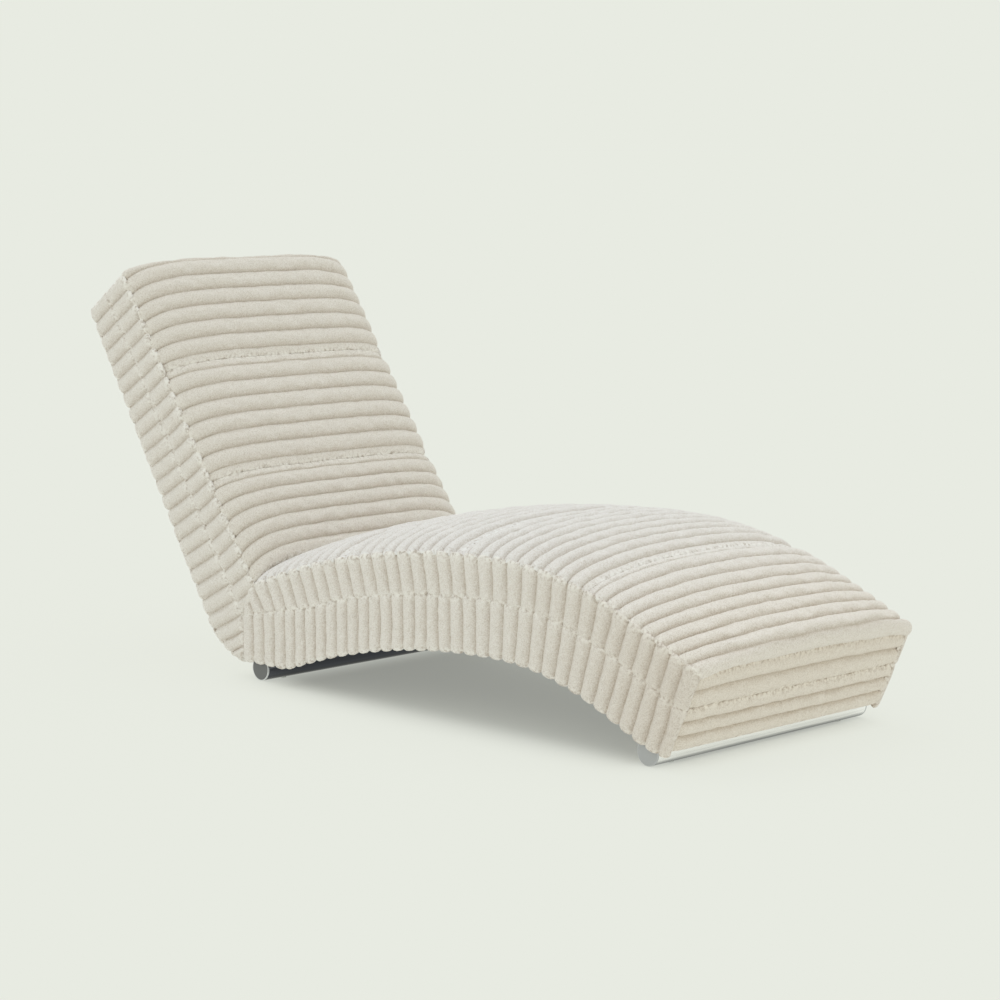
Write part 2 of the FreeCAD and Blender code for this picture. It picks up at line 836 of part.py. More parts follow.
def groove_ends(start_line, count, end_line, lean_at, corner):
    """The two ends of each groove, which starts evenly along one edge and runs on to the other.

    The first and last grooves join the ends of the edges. The groove that comes nearest
    to the corner of the far edge is moved to end on it, so that no rib cuts the corner.
    """
    starts = even_points(start_line, count)
    ends = [crossing(end_line, p, lean_at(k / count)) for k, p in enumerate(starts)]
    ends[0], ends[-1] = end_line[0], end_line[-1]
    if corner:
        near = min(range(1, count), key=lambda k: math.dist(ends[k], corner))
        ends[near] = corner
    return starts, ends


def between(a, b, share):
    """The side-view point at a share of the way from one point to another."""
    return a[0] + (b[0] - a[0]) * share, a[1] + (b[1] - a[1]) * share


def band(upper, lower):
    """A ribbed side band on the right-hand side, its ribs drawn in flat at both seams."""
    steps = [(0.0, 0.0)] + arch_steps(side_rib_height, math.dist(upper[0], upper[1]))
    rows = []
    for depth, base in band_shares:
        level = skin_plane + band_base * base
        places = [between(a, b, depth) for a, b in zip(upper, lower)]
        arches = []
        for a, b in zip(places, places[1:]):
            arches += [lift(between(a, b, along), -level - side_rib_height * up) for along, up in steps]
        grooves = [lift(p, -level) for p in places]
        rows.append((grooves, arches + grooves[-1:]))
    faces = gathered_faces(rows[0][0], rows[1][1])
    faces += ruled_faces(rows[1][1], rows[2][1])
    faces += gathered_faces(rows[3][0], rows[2][1])
    for line, (grooves, _) in ((upper, rows[0]), (lower, rows[-1])):
        faces += ruled_faces(grooves, [lift(p, -skin_plane) for p in line])
    for end in (0, -1):
        corners = [grooves[end] for grooves, _ in rows]
        faces.append(flat_face(corners + [lift(lower[end], -skin_plane), lift(upper[end], -skin_plane)]))
    faces.append(flat_face([lift(p, -skin_plane) for p in upper + lower[::-1]]))
    return closed_solid(faces)


def seat_hem(distance):
    """The lower edge of the seat's side, level near each tube."""
    x, z = seat_run.at(distance, -seat_depth)
    hem = rear_hem_height if x < seat_peak_reach else front_hem_height
    return x, max(z, hem)


def seam_between_bands(run, depth, low, high, knee, offset):
    """The middle seam of the sides: a fine line that leaves the knee straight and then follows a run."""
    followed = fine_line(lambda d: run.at(d, offset - depth), low, high)
    return [(knee[0], knee[1] + offset)] + followed


def seat_bands():
    """The groove ends of the seat's two side bands, along the upper and the lower edge of each."""
    length = seat_run.length
    joint, knee, foot = mitre_corners(1)
    upper_seam = seam_between_bands(seat_run, upper_band_depth, seat_seam_ease, length, knee, soft_gap / 2)
    lower_seam = seam_between_bands(seat_run, upper_band_depth, seat_seam_ease, length, knee, -soft_gap / 2)
    tip = between(upper_seam[0], joint, mitre_foot_edge / math.dist(upper_seam[0], joint))
    top = [tip] + fine_line(lambda d: between(tip, joint, d), 0.0, 1.0)[1:]
    top += fine_line(seat_run.at, mitre_gap, length)
    hem_start = solve(lambda d: seat_hem(d)[0] - foot[0], -seat_depth, seat_depth)
    hem = fine_line(seat_hem, hem_start, length)
    turn = seat_run.ends[1][0] / length

    def upper_lean(share):
        return seat_run.heading(length * share) + upper_rib_lean * (1 - share)

    def lower_lean(share):
        return min(seat_run.heading(length * share), 0.0) if share > turn else 0.0

    lower, upper = groove_ends(upper_seam, upper_band_ribs, top, upper_lean, joint)
    hem_points, seam_points = groove_ends(hem, lower_band_ribs, lower_seam, lower_lean, None)
    return {"seat_upper_band": (upper, lower), "seat_lower_band": (seam_points, hem_points)}


def back_bands():
    """The groove ends of the back's two side bands, along the front and the rear edge of each."""
    joint, knee, foot = mitre_corners(-1)
    reach = back_run.length - back_seam_ease
    front_seam = seam_between_bands(back_run, front_band_depth, reach, 0.0, knee, soft_gap / 2)[::-1]
    rear_seam = seam_between_bands(back_run, front_band_depth, reach, 0.0, knee, -soft_gap / 2)[::-1]
    tip = between(front_seam[-1], joint, mitre_foot_edge / math.dist(front_seam[-1], joint))
    count = back_front_band_ribs - 1
    front = even_points([back_run.at(0.0), joint], count)
    square = [crossing(front_seam, p, -back_slope) for p in front]
    square[0] = front_seam[0]
    low_tip = (foot[0], foot[1] + mitre_foot_edge)
    mitre_line = fine_line(lambda d: between(rear_seam[-1], low_tip, d), 0.0, 1.0)
    rear_stop = solve(lambda d: foot[0] - rear_run.at(d)[0], 0.0, rear_corner_end)
    outline = fine_line(rear_run.at, rear_run.length, rear_stop)
    outline_points, seam_points = groove_ends(
        outline, back_rear_band_ribs, rear_seam + mitre_line[1:], lambda share: -back_slope - rear_rib_turn * share,
        rear_seam[-1]
    )
    return {
        "back_front_band": (front + [tip], square + [front_seam[-1]]),
        "back_rear_band": (seam_points, outline_points),
    }


def underside_lining():
    """The thin sheet under the arch, level from the rear tube until it meets the curve."""
    low, high = -lining_depth - lining_thickness, -lining_depth
    front_x = front_tube_reach - tube_radius - soft_gap
    rear_x = rear_tube_reach + foot_rail_width / 2 + soft_gap
    front = solve(lambda d: seat_run.at(d, high)[0] - front_x, seat_run.length / 2, seat_run.length)
    middle = seat_run.length / 2
    rear = solve(lambda d: seat_run.at(d, high)[1] - frame_floor + soft_gap, -seat_depth, middle)
    arch = strip(seat_run, fixed(rear), fixed(front), low, high, -ply_outer, ply_outer)
    reach = seat_run.at(rear, high)[0] - rear_x + lining_thickness
    corner = spot(rear_x, -ply_outer, frame_floor - soft_gap - lining_thickness)
    level = Part.makeBox(reach, 2 * ply_outer, lining_thickness, corner)
    return arch.fuse(level)


# Places that depend on the pieces above
mitre_half = mitre_angle - seat_rear_rise
joint_axis = spot(math.sin(mitre_angle), 0, -math.cos(mitre_angle))
foot_rail_top = tube_top - saddle_depth + foot_rail_thickness
bolt_places = (-tube_length / 2 + bolt_inset, tube_length / 2 - bolt_inset)
joint_bolt_places = (-gusset_inner * joint_bolt_share, gusset_inner * joint_bolt_share)
rear_stack = cover_base + rear_wadding + 2 * soft_gap
back_ply_depth = back_depth - rear_stack
end_stack = foot_inset + cover_base + end_wadding + 2 * soft_gap
seat_frame_end = seat_run.length - end_stack
back_frame_start = end_stack
foam_end = foot_inset + cover_base + soft_gap
seat_rail_rise = -lining_depth + soft_gap

seat_rail_places = {
    "seat_rear_rail": seat_seam_places[0],
    "seat_middle_rail": seat_seam_places[1],
    "seat_front_rail": seat_seam_places[2],
}
back_rail_places = {"shoulder_rail": back_seam_places[0], "lumbar_rail": back_seam_places[1]}


def spread(low, high, count):
    """Even places between two limits."""
    return [low + (high - low) * (k + half_share) / count for k in range(count)]


def build():
    """Every piece by name; a group of like pieces is one compound."""
    parts = {}
    glides, caps, bolts = [], [], []
    for name, x in tube_places.items():
        parts[name + "_foot_tube"] = foot_tube(x)
        parts[name + "_foot_rail"] = foot_rail(x)
        caps += [tube_cap(x, side) for side in (-1, 1)]
        glides += [floor_glide(x, side * (tube_length / 2 - glide_inset)) for side in (-1, 1)]
        bolts += [tube_bolt(x, y) for y in bolt_places]
    parts["tube_end_caps"] = Part.makeCompound(caps)
    parts["floor_glides"] = Part.makeCompound(glides)
    parts["tube_bolts"] = Part.makeCompound(bolts)

    parts.update(both_sides("seat_side_frame", seat_side_frame))
    parts.update(both_sides("back_side_frame", back_side_frame))
    parts.update(both_sides("joint_gusset", joint_gusset))
    parts["seat_joint_rail"] = joint_rail(1)
    parts["back_joint_rail"] = joint_rail(-1)
    parts["joint_bolts"] = Part.makeCompound([joint_bolt(y) for y in joint_bolt_places])
    parts["joint_nuts"] = Part.makeCompound([joint_nut(y) for y in joint_bolt_places])
    blocks = []
    for name, distance in seat_rail_places.items():
        parts[name] = flat_rail(seat_run, distance, seat_rail_rise)
        blocks += [corner_block(seat_run, distance, seat_rail_rise, side) for side in (-1, 1)]
    for name, distance in back_rail_places.items():
        rise = rear_stack - depth_of_back(distance - rail_width / 2)
        parts[name] = flat_rail(back_run, distance, rise)
        blocks += [corner_block(back_run, distance, rise, side) for side in (-1, 1)]
    parts["corner_blocks"] = Part.makeCompound(blocks)
    rail_low, rail_high = -ply_depth - end_rail_width, -ply_depth
    end_rails = (
        ("foot_end_rail", seat_run, seat_frame_end - rail_thickness / 2),
        ("head_rail", back_run, back_frame_start + rail_thickness / 2),
    )
    for name, run, distance in end_rails:
        parts[name] = board(run, distance, rail_thickness, rail_low, rail_high, -ply_inner, ply_inner)

    seat_webs = spread(web_width, seat_frame_end - rail_thickness, seat_web_count)
    back_webs = spread(back_frame_start + rail_thickness, back_run.length - web_width, back_web_count)
    parts["seat_webbing"] = Part.makeCompound([web(seat_run, d) for d in seat_webs])
    parts["back_webbing"] = Part.makeCompound([web(back_run, d) for d in back_webs])
    seat_foam_end = fixed(seat_run.length - foam_end)
    parts["seat_foam"] = foam(
        seat_run, seat_start, seat_foam_end, seat_seam_places, seat_crown_shares, seat_crown
    )
    parts["back_foam"] = foam(
        back_run, fixed(foam_end), back_end, back_seam_places, back_crown_shares, back_crown
    )
    parts.update(both_sides("seat_side_pad", seat_side_pad))
    parts.update(both_sides("back_side_pad", back_side_pad))
    parts["rear_wadding"] = rear_wadding_sheet()
    below_foam = foam_depth - foot_seam_drop
    parts["foot_end_wadding"] = end_wadding_sheet(foot_run, below_foam, foot_run.length - cover_base)
    behind_foam = head_end_run.length - below_foam - soft_gap
    parts["head_end_wadding"] = end_wadding_sheet(head_end_run, rear_stack + 2 * soft_gap, behind_foam)
    parts["underside_lining"] = underside_lining()

    parts.update(seat_covers())
    parts.update(back_covers())
    parts.update(end_covers())
    for name, (upper, lower) in {**seat_bands(), **back_bands()}.items():
        parts.update(both_sides(name, lambda: band(upper, lower)))
    return parts


def export(parts):
    """Write one file for each named piece."""
    os.makedirs("parts", exist_ok=True)
    for name, shape in parts.items():
        shape.exportStep(f"parts/{name}.step")
        print(name, len(shape.Solids), "solid", round(shape.Volume), "cubic mm", shape.isValid())


export(build())
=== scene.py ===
# %% [markdown]
# # A ribbed plush lounger, dressed over its CAD frame
#
# The CAD part gives every solid its place and size. This lesson makes the looks: it swells
# each sewn panel of plush with a cloth simulation, gives every surface its material, and sets
# up the floor, the light and the camera. All lengths in the side view are in millimetres, and
# a mesh is scaled to metres when it is made.

import json
import math

import bpy
import numpy as np
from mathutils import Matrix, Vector


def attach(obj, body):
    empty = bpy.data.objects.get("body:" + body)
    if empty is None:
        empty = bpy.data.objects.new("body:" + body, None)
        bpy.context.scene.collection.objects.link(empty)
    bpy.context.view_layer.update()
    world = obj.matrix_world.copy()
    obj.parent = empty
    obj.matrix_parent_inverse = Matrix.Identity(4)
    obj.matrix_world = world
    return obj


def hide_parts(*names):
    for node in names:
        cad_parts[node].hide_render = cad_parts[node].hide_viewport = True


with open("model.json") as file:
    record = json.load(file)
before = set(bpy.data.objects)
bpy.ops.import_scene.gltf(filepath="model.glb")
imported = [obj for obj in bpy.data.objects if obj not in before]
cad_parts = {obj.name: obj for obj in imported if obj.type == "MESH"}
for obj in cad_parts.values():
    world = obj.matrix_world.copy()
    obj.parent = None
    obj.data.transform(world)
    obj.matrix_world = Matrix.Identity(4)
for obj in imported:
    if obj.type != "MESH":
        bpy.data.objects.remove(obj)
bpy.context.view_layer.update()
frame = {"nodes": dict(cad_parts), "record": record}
print("CAD nodes:", len(frame["nodes"]))

# %% [markdown]
# ## The side view
#
# The body is drawn from one line on the seat and one on the back. These are the sizes of the
# CAD part, written out again because a scene reads nothing but its frame.

# %% Sizes of the body, in millimetres
MM = 0.001
PEAK_X, PEAK_Z = 364.0, 327.0
JOINT_X, JOINT_Z = -334.0, 194.2
SEAT_END_Z = 184.4
FRONT_FALL = math.radians(24.07)
FRONT_STRAIGHT = 169.0
BACK_SLOPE = math.radians(55.4)
BACK_LENGTH = 759.0
SEAT_DEPTH, BACK_DEPTH, HEAD_DEPTH = 179.0, 168.0, 134.0
CORNER_RADIUS = 160.0
REAR_HEM, FRONT_HEM = 42.0, 30.0
FOOT_INSET, FOOT_DROP = 8.0, 9.0
TUBE_RADIUS, REAR_TUBE_AHEAD = 25.0, 10.0
SOFT_GAP, MITRE_GAP = 0.3, 1.2
HALF_GAP = SOFT_GAP / 2
TINY = 1e-9
print("the seat's peak lies", PEAK_X - JOINT_X, "mm in front of the joint")


# %% A line of straight and round stretches
class Run:
    """Straight and round stretches end to end in the side view, read by distance."""

    def __init__(self, x, z, heading):
        self.ends = [(0.0, x, z, heading)]
        self.bends = []

    def add(self, length, bend=0.0):
        start = self.ends[-1][0]
        self.bends.append(bend)
        x, z, heading = self._follow(len(self.bends) - 1, np.array([start + length]))
        self.ends.append((start + length, x[0], z[0], heading[0]))
        return self

    def _follow(self, index, distance):
        start, x, z, heading = self.ends[index]
        bend, along = self.bends[index], distance - start
        turned = heading + bend * along
        if bend == 0:
            return x + along * math.cos(heading), z + along * math.sin(heading), turned
        over = (np.sin(turned) - math.sin(heading)) / bend
        return x + over, z - (np.cos(turned) - math.cos(heading)) / bend, turned

    @property
    def length(self):
        return self.ends[-1][0]

    def heading(self, distance):
        for k in range(1, len(self.bends)):
            if distance <= self.ends[k][0]:
                return self.ends[k - 1][3] + self.bends[k - 1] * (distance - self.ends[k - 1][0])
        return self.ends[-2][3] + self.bends[-1] * (distance - self.ends[-2][0])

    def at(self, distance, rise=0.0):
        """Side-view points, shape (..., 2), a rise off the run to its left."""
        distance, rise = np.broadcast_arrays(np.asarray(distance, float), np.asarray(rise, float))
        stretch = np.zeros(distance.shape, int)
        for k in range(1, len(self.bends)):
            stretch[distance > self.ends[k][0]] = k
        out = np.zeros(distance.shape + (2,))
        for k in range(len(self.bends)):
            here = stretch == k
            x, z, heading = self._follow(k, distance[here])
            out[here, 0] = x - rise[here] * np.sin(heading)
            out[here, 1] = z + rise[here] * np.cos(heading)
        return out


# %% The outlines of seat, back, rear, foot end and head end
def arc_radius(reach, fall):
    """The radius of a round stretch that starts level and falls over a reach."""
    return (reach**2 + fall**2) / (2 * fall)


rear_radius = arc_radius(PEAK_X - JOINT_X, PEAK_Z - JOINT_Z)
rear_rise = math.asin((PEAK_X - JOINT_X) / rear_radius)
front_radius = (PEAK_Z - SEAT_END_Z - FRONT_STRAIGHT * math.sin(FRONT_FALL)) / (1 - math.cos(FRONT_FALL))
seat_run = Run(JOINT_X, JOINT_Z, rear_rise)
seat_run.add(rear_radius * rear_rise, -1 / rear_radius).add(front_radius * FRONT_FALL, -1 / front_radius)
seat_run.add(FRONT_STRAIGHT)
back_run = Run(
    JOINT_X - BACK_LENGTH * math.cos(BACK_SLOPE), JOINT_Z + BACK_LENGTH * math.sin(BACK_SLOPE), -BACK_SLOPE
)
back_run.add(BACK_LENGTH)

back_taper = math.atan((BACK_DEPTH - HEAD_DEPTH) / BACK_LENGTH)
rear_slope = BACK_SLOPE + back_taper
low_x, low_z = back_run.at(BACK_LENGTH, -BACK_DEPTH)
corner_z = REAR_HEM + CORNER_RADIUS
corner_x = low_x + (CORNER_RADIUS - (corner_z - low_z) * math.cos(rear_slope)) / math.sin(rear_slope)
rear_start_x = JOINT_X + REAR_TUBE_AHEAD - (TUBE_RADIUS + SOFT_GAP)
rear_run = Run(rear_start_x, REAR_HEM, math.pi)
rear_run.add(rear_start_x - corner_x).add(CORNER_RADIUS * rear_slope, -1 / CORNER_RADIUS)
rear_run.add(float(np.linalg.norm(rear_run.at(rear_run.length) - back_run.at(0.0, -HEAD_DEPTH))))
rear_corner_end = rear_run.ends[2][0]

foot_x, foot_z = seat_run.at(seat_run.length - FOOT_INSET, -FOOT_DROP)
foot_heading = -FRONT_FALL - math.pi / 2
foot_run = Run(foot_x, foot_z, foot_heading).add((foot_z - FRONT_HEM) / math.sin(-foot_heading))
head_depth = HEAD_DEPTH + FOOT_INSET * math.tan(back_taper)
head_x, head_z = back_run.at(FOOT_INSET, -head_depth)
head_run = Run(head_x, head_z, math.pi / 2 - BACK_SLOPE).add(head_depth - FOOT_DROP)

print("seat line", round(seat_run.length), "mm, rear outline", round(rear_run.length), "mm")

# %% [markdown]
# ## Where seat and back meet
#
# The two covers are mitred at the joint, as two picture-frame sides are. The place where a line
# at some height reaches the mitre has no simple formula, so it is found by halving a span.

# %% The mitre at the joint
HALVINGS = 50
mitre = (math.pi - BACK_SLOPE + rear_rise) / 2


def past_mitre(point):
    """How far side-view points lie on the seat's side of the joint."""
    return (point[..., 0] - JOINT_X) * math.sin(mitre) - (point[..., 1] - JOINT_Z) * math.cos(mitre)


def solve(measure, low, high):
    """The distances between two limits where a rising measure passes through zero."""
    for _ in range(HALVINGS):
        middle = (low + high) / 2
        over = measure(middle) > 0
        low, high = np.where(over, low, middle), np.where(over, middle, high)
    return (low + high) / 2


def seat_start(rise):
    """Where the seat's cover starts, at a rise off the seat line."""
    rise = np.asarray(rise, float)
    low, high = np.full(rise.shape, -SEAT_DEPTH), np.full(rise.shape, SEAT_DEPTH)
    return solve(lambda d: past_mitre(seat_run.at(d, rise)) - MITRE_GAP / 2, low, high)


def back_end(rise):
    """Where the back's cover ends, at a rise off the back line."""
    rise = np.asarray(rise, float)
    low, high = np.full(rise.shape, BACK_LENGTH - BACK_DEPTH), np.full(rise.shape, BACK_LENGTH + BACK_DEPTH)
    return solve(lambda d: past_mitre(back_run.at(d, rise)) + MITRE_GAP / 2, low, high)


print("mitre at", round(math.degrees(mitre), 1), "degrees")

# %% [markdown]
# ## Noise for things made by hand
#
# Sewn grooves wander a little and pile lies unevenly. Both come from one smooth noise on a
# lattice of fixed random numbers, so the result is the same each time. A material has its own
# noise for finer marks, but only a noise that numpy works out can move the points of a mesh.

# %% Smooth noise at points in space
LATTICE = 32
lattice = np.random.default_rng(11).uniform(-1, 1, (LATTICE, LATTICE, LATTICE))
print("noise lattice:", lattice.shape)


def noise(points, size, shift=0.0):
    """Values from about -1 to 1 that vary over a size in millimetres."""
    at = np.asarray(points, float) / size + shift
    cell = np.floor(at).astype(int)
    share = at - cell
    share = share * share * (3 - 2 * share)
    total = 0.0
    for corner in np.ndindex(2, 2, 2):
        index = (cell + corner) % LATTICE
        weight = np.prod(np.where(np.array(corner) == 1, share, 1 - share), axis=-1)
        total = total + weight * lattice[index[..., 0], index[..., 1], index[..., 2]]
    return total


# %% [markdown]
# ## Ribbed panels
#
# A panel is a grid. One direction runs across the ribs, with a fixed number of cells for each
# rib, and the other runs along them. A panel function gives the smooth surface under the ribs,
# and the ribs are raised from it along its own normal. Towards a seam each rib is drawn in.
# Ribs could also be bevelled out of a slab, but a grid keeps each groove on a row of points,
# and the cloth simulation can hold the cloth along that row.

# %% The form of one rib
RIB, SIDE_RIB = 11.0, 9.5
CELLS, BUNCH = 8, 0.86
RIB_PROFILE = (2.3, 0.56)
VALLEY, VALLEY_SLOPE, VALLEY_LIP, BUTT_FALL = 0.55, 0.7, 6, 0.62
STEPS = np.sin(np.linspace(-1, 1, CELLS + 1) * math.pi / 2 * BUNCH) / math.sin(math.pi / 2 * BUNCH)
print("steps across one rib:", STEPS.round(2))


def dome(across, flat, roundness):
    """A rounded hump over places from -1 to 1. A higher first power makes its top flatter."""
    return np.power(np.clip(1 - np.abs(across) ** flat, 0, 1), roundness)


def rib_form(across):
    """The height share over one rib, for places from -1 to 1 across it."""
    return dome(across, *RIB_PROFILE)


def valley_open_and_lit(across, side):
    """How open a narrow rib stands, which also keeps it out of the painted groove shade: full up to the
    stitched seam.
    """
    out = (1 - side * across) / 2
    return np.sqrt(np.clip(1 - out**VALLEY_LIP, 0, 1))


def valley_form(across, side):
    """A narrow rib that slopes down to the stitched seam on one of its sides."""
    out = (1 - side * across) / 2
    return VALLEY * out**VALLEY_SLOPE * valley_open_and_lit(across, side)


def butted_form(across, side):
    """A rib that stays half high on the side where it is sewn against another panel."""
    near = side * across
    return max(rib_form(across), 1 - BUTT_FALL * near**2) if near > 0 else rib_form(across)


def drawn_in(gap, reach):
    """A share that falls to zero in a quarter round within a reach of a seam."""
    near = np.clip(gap / reach, 0, 1)
    return np.sqrt(1 - (1 - near) ** 2)


# %% The grid of one panel
def grid_normals(points):
    """The normal at each point of a grid, from its neighbours."""
    along = np.gradient(points, axis=0)
    over = np.gradient(points, axis=1)
    normal = np.cross(along, over)
    return normal / np.maximum(np.linalg.norm(normal, axis=-1, keepdims=True), TINY)


def seam_steps(length, step, reach=14.0, rows=5):
    """Distances along a rib, closer together by the seams at its ends."""
    near = reach * (1 - np.cos(np.linspace(0, 1, rows) * math.pi / 2))
    count = max(2, round((length - 2 * reach) / step))
    middle = np.linspace(reach, length - reach, count + 1)
    return np.concatenate([near[:-1], middle, (length - near[:-1])[::-1]])


def placed(name, mesh, materials):
    """A piece in the scene with a mesh and its materials."""
    for material in materials:
        mesh.materials.append(material)
    piece = bpy.data.objects.new(name, mesh)
    bpy.context.scene.collection.objects.link(piece)
    return piece


def closed_panel(name, top, under, front, materials):
    """A closed mesh from a fine grid of points and a coarse lining behind it."""
    rows, columns = top.shape[:2]
    verts = list(top.reshape(-1, 3))
    index = np.arange(rows * columns).reshape(rows, columns)
    faces = [
        (index[i, j], index[i, j + 1], index[i + 1, j + 1], index[i + 1, j])
        for i in range(rows - 1)
        for j in range(columns - 1)
    ]
    shares = sorted({0, columns // 4, columns // 2, 3 * columns // 4, columns - 1})
    back = {}
    for i in range(rows):
        for j in range(columns) if i in (0, rows - 1) else shares:
            back[i, j] = len(verts)
            verts.append(under[i, j])
    for i in range(rows - 1):
        for a, b in zip(shares, shares[1:]):
            low = [back[i, j] for j in (range(a, b + 1) if i == 0 else (a, b))]
            high = [back[i + 1, j] for j in (range(a, b + 1) if i + 1 == rows - 1 else (a, b))]
            faces.append(tuple(low + high[::-1])[::-1])
    for i in range(rows - 1):
        for j, turn in ((0, 1), (columns - 1, -1)):
            quad = (index[i, j], index[i + 1, j], back[i + 1, j], back[i, j])
            faces.append(quad[::turn])
    for j in range(columns - 1):
        for i, turn in ((0, -1), (rows - 1, 1)):
            quad = (index[i, j], index[i, j + 1], back[i, j + 1], back[i, j])
            faces.append(quad[::turn])
    mesh = bpy.data.meshes.new(name)
    mesh.from_pydata([tuple(v * MM) for v in verts], [], [tuple(int(k) for k in f)[::-1] for f in faces])
    mesh.validate()
    edge = np.zeros((rows, columns), bool)
    edge[:, 0] = edge[:, -1] = edge[0] = edge[-1] = True
    front["held"] = (front["held"] | edge).astype(float)
    for key, rest in (("pile_open_and_lit", 0.0), ("stitch", 0.0), ("held", 1.0)):
        values = np.full(len(verts), rest)
        values[: rows * columns] = front[key].reshape(-1)
        mesh.attributes.new(key, "FLOAT", "POINT").data.foreach_set("value", values)
    rim = np.zeros(len(verts), bool)
    rim[: rows * columns] = edge.reshape(-1)
    pairs = np.empty(2 * len(mesh.edges), int)
    mesh.edges.foreach_get("vertices", pairs)
    crease = rim[pairs.reshape(-1, 2)].all(axis=1).astype(float)
    mesh.attributes.new("crease_edge", "FLOAT", "EDGE").data.foreach_set("value", crease)
    mesh.polygons.foreach_set("use_smooth", [True] * len(mesh.polygons))
    return placed(name, mesh, materials)


# %% One ribbed panel
COVER_THICK, GATHER, BLUNT_ENDS = 6.0, 10.0, (0.62, 0.62)
SWAY_LENGTH, SWAY_APART = 60.0, 9.0
UNEVEN, UNEVEN_LENGTH, UNEVEN_APART, UNEVEN_SEED = 0.06, 45.0, 0.9, 1.7
STITCH_REACH, HELD_BELOW = 5.0, 0.02


def ribbed(
    name, surface, heights, across, seed, materials,
    valleys=None, butts=None, thick=COVER_THICK, wander=0.7, gather=GATHER, blunt=BLUNT_ENDS, recess_shade=0.0
):
    """One panel: surface(places, across) gives smooth points, for rib places from 0 to the rib count."""
    count = len(heights)
    valleys, butts = valleys or {}, butts or {}

    def form_of(k, step, narrow):
        if k in valleys:
            return narrow(step, valleys[k])
        return butted_form(step, butts[k]) if k in butts else rib_form(step)

    sway = np.zeros((count + 1, len(across)))
    for k in range(1, count):
        at = np.broadcast_arrays(SWAY_APART * k, across / SWAY_LENGTH, seed)
        sway[k] = wander * noise(np.stack(at, axis=-1), 1.0)
    places, forms, open_and_lit, tall, shifts = [], [], [], [], []
    for k in range(count):
        for step in STEPS[: -1 if k < count - 1 else None]:
            share = (step + 1) / 2
            places.append(k + share)
            forms.append(form_of(k, step, valley_form))
            open_and_lit.append(form_of(k, step, valley_open_and_lit))
            tall.append(heights[k])
            shifts.append(sway[k] * (1 - share) + sway[k + 1] * share)
    places, forms, open_and_lit, tall = (np.array(x) for x in (places, forms, open_and_lit, tall))
    base = surface(places[:, None] + 0 * across[None, :], across[None, :] + 0 * places[:, None])
    along = np.gradient(base, axis=0)
    along /= np.maximum(np.linalg.norm(along, axis=-1, keepdims=True), TINY)
    base = base + along * np.array(shifts)[..., None]
    normal = grid_normals(base)
    ends = 1 - (1 - drawn_in(across - across[0], gather)) * (1 - blunt[0])
    ends = ends * (1 - (1 - drawn_in(across[-1] - across, gather)) * (1 - blunt[1]))
    at = np.broadcast_arrays(
        places[:, None] * UNEVEN_APART, across[None, :] / UNEVEN_LENGTH, seed * UNEVEN_SEED
    )
    swell = 1 + UNEVEN * noise(np.stack(at, axis=-1), 1.0)
    share = forms[:, None] * ends[None, :]
    top = base + normal * (share * tall[:, None] * swell)[..., None]
    steps = np.linalg.norm(np.diff(base, axis=0), axis=-1)
    run_up = np.concatenate([np.zeros((1, len(across))), np.cumsum(steps, axis=0)])
    to_seam = np.minimum(run_up, run_up[-1] - run_up)
    to_seam = np.minimum(to_seam, np.minimum(across - across[0], across[-1] - across)[None, :])
    # The pile value sets the painted groove shade, and at gathered ends the painted shade of the recess; the
    # relief also reads it
    front = {
        "pile_open_and_lit": open_and_lit[:, None] * ends[None, :] ** recess_shade,
        "stitch": np.exp(-to_seam / STITCH_REACH),
        "held": share < HELD_BELOW,
    }
    return closed_panel(name, top, base - normal * thick, front, materials)


# %% [markdown]
# ## The crowned covers of seat and back
#
# Seat and back are upholstered over foam, so each cover is highest along its middle and falls
# to the side seams. At the foot and at the head the last rib is pulled over the end and sewn to
# the end panel. That rib is a soft curve from the last groove to the seam, past a knuckle.

# %% A section of a crowned cover
SKIN = 301.0
HALF_WIDTH = SKIN - SOFT_GAP
COVER_STEP = 8.0
# The crown of a cover, its profile across and the puff of each section
SEAT_FORM = (50.0, (2.2, 0.6), 1.0)
BACK_FORM = (48.0, (4.5, 0.55), 5.0)
HEAD_TUCK, FOOT_TUCK, SEAM_ARCH = 18.0, 24.0, 14.0
ROLL, HEAD_KNUCKLE, FOOT_KNUCKLE, FOOT_REACH = 1.3, 5.0, 15.0, 11.0
KNUCKLE_SHARE, KNUCKLE_RISE = 0.7, 4.0
FINE_POINTS, EDGE_PULL, PILLOW_ROUND = 2001, 0.8, 0.8


def in_space(flat, width):
    """Side-view points, each set at its place across the width."""
    return np.stack([flat[..., 0], np.broadcast_to(width, flat.shape[:-1]), flat[..., 1]], axis=-1)


def crowned_rows(crown, profile):
    """Places across a crowned cover, even along its curve: the arc place, the width and the rise."""
    angle = np.linspace(-1, 1, FINE_POINTS) * math.pi / 2
    width = np.sign(np.sin(angle)) * np.abs(np.sin(angle)) ** EDGE_PULL
    rise = crown * dome(width, *profile)
    line = np.concatenate([[0], np.cumsum(np.hypot(np.diff(width * HALF_WIDTH), np.diff(rise)))])
    want = seam_steps(line[-1], COVER_STEP)
    return want, np.interp(want, line, width * HALF_WIDTH), np.interp(want, line, rise)


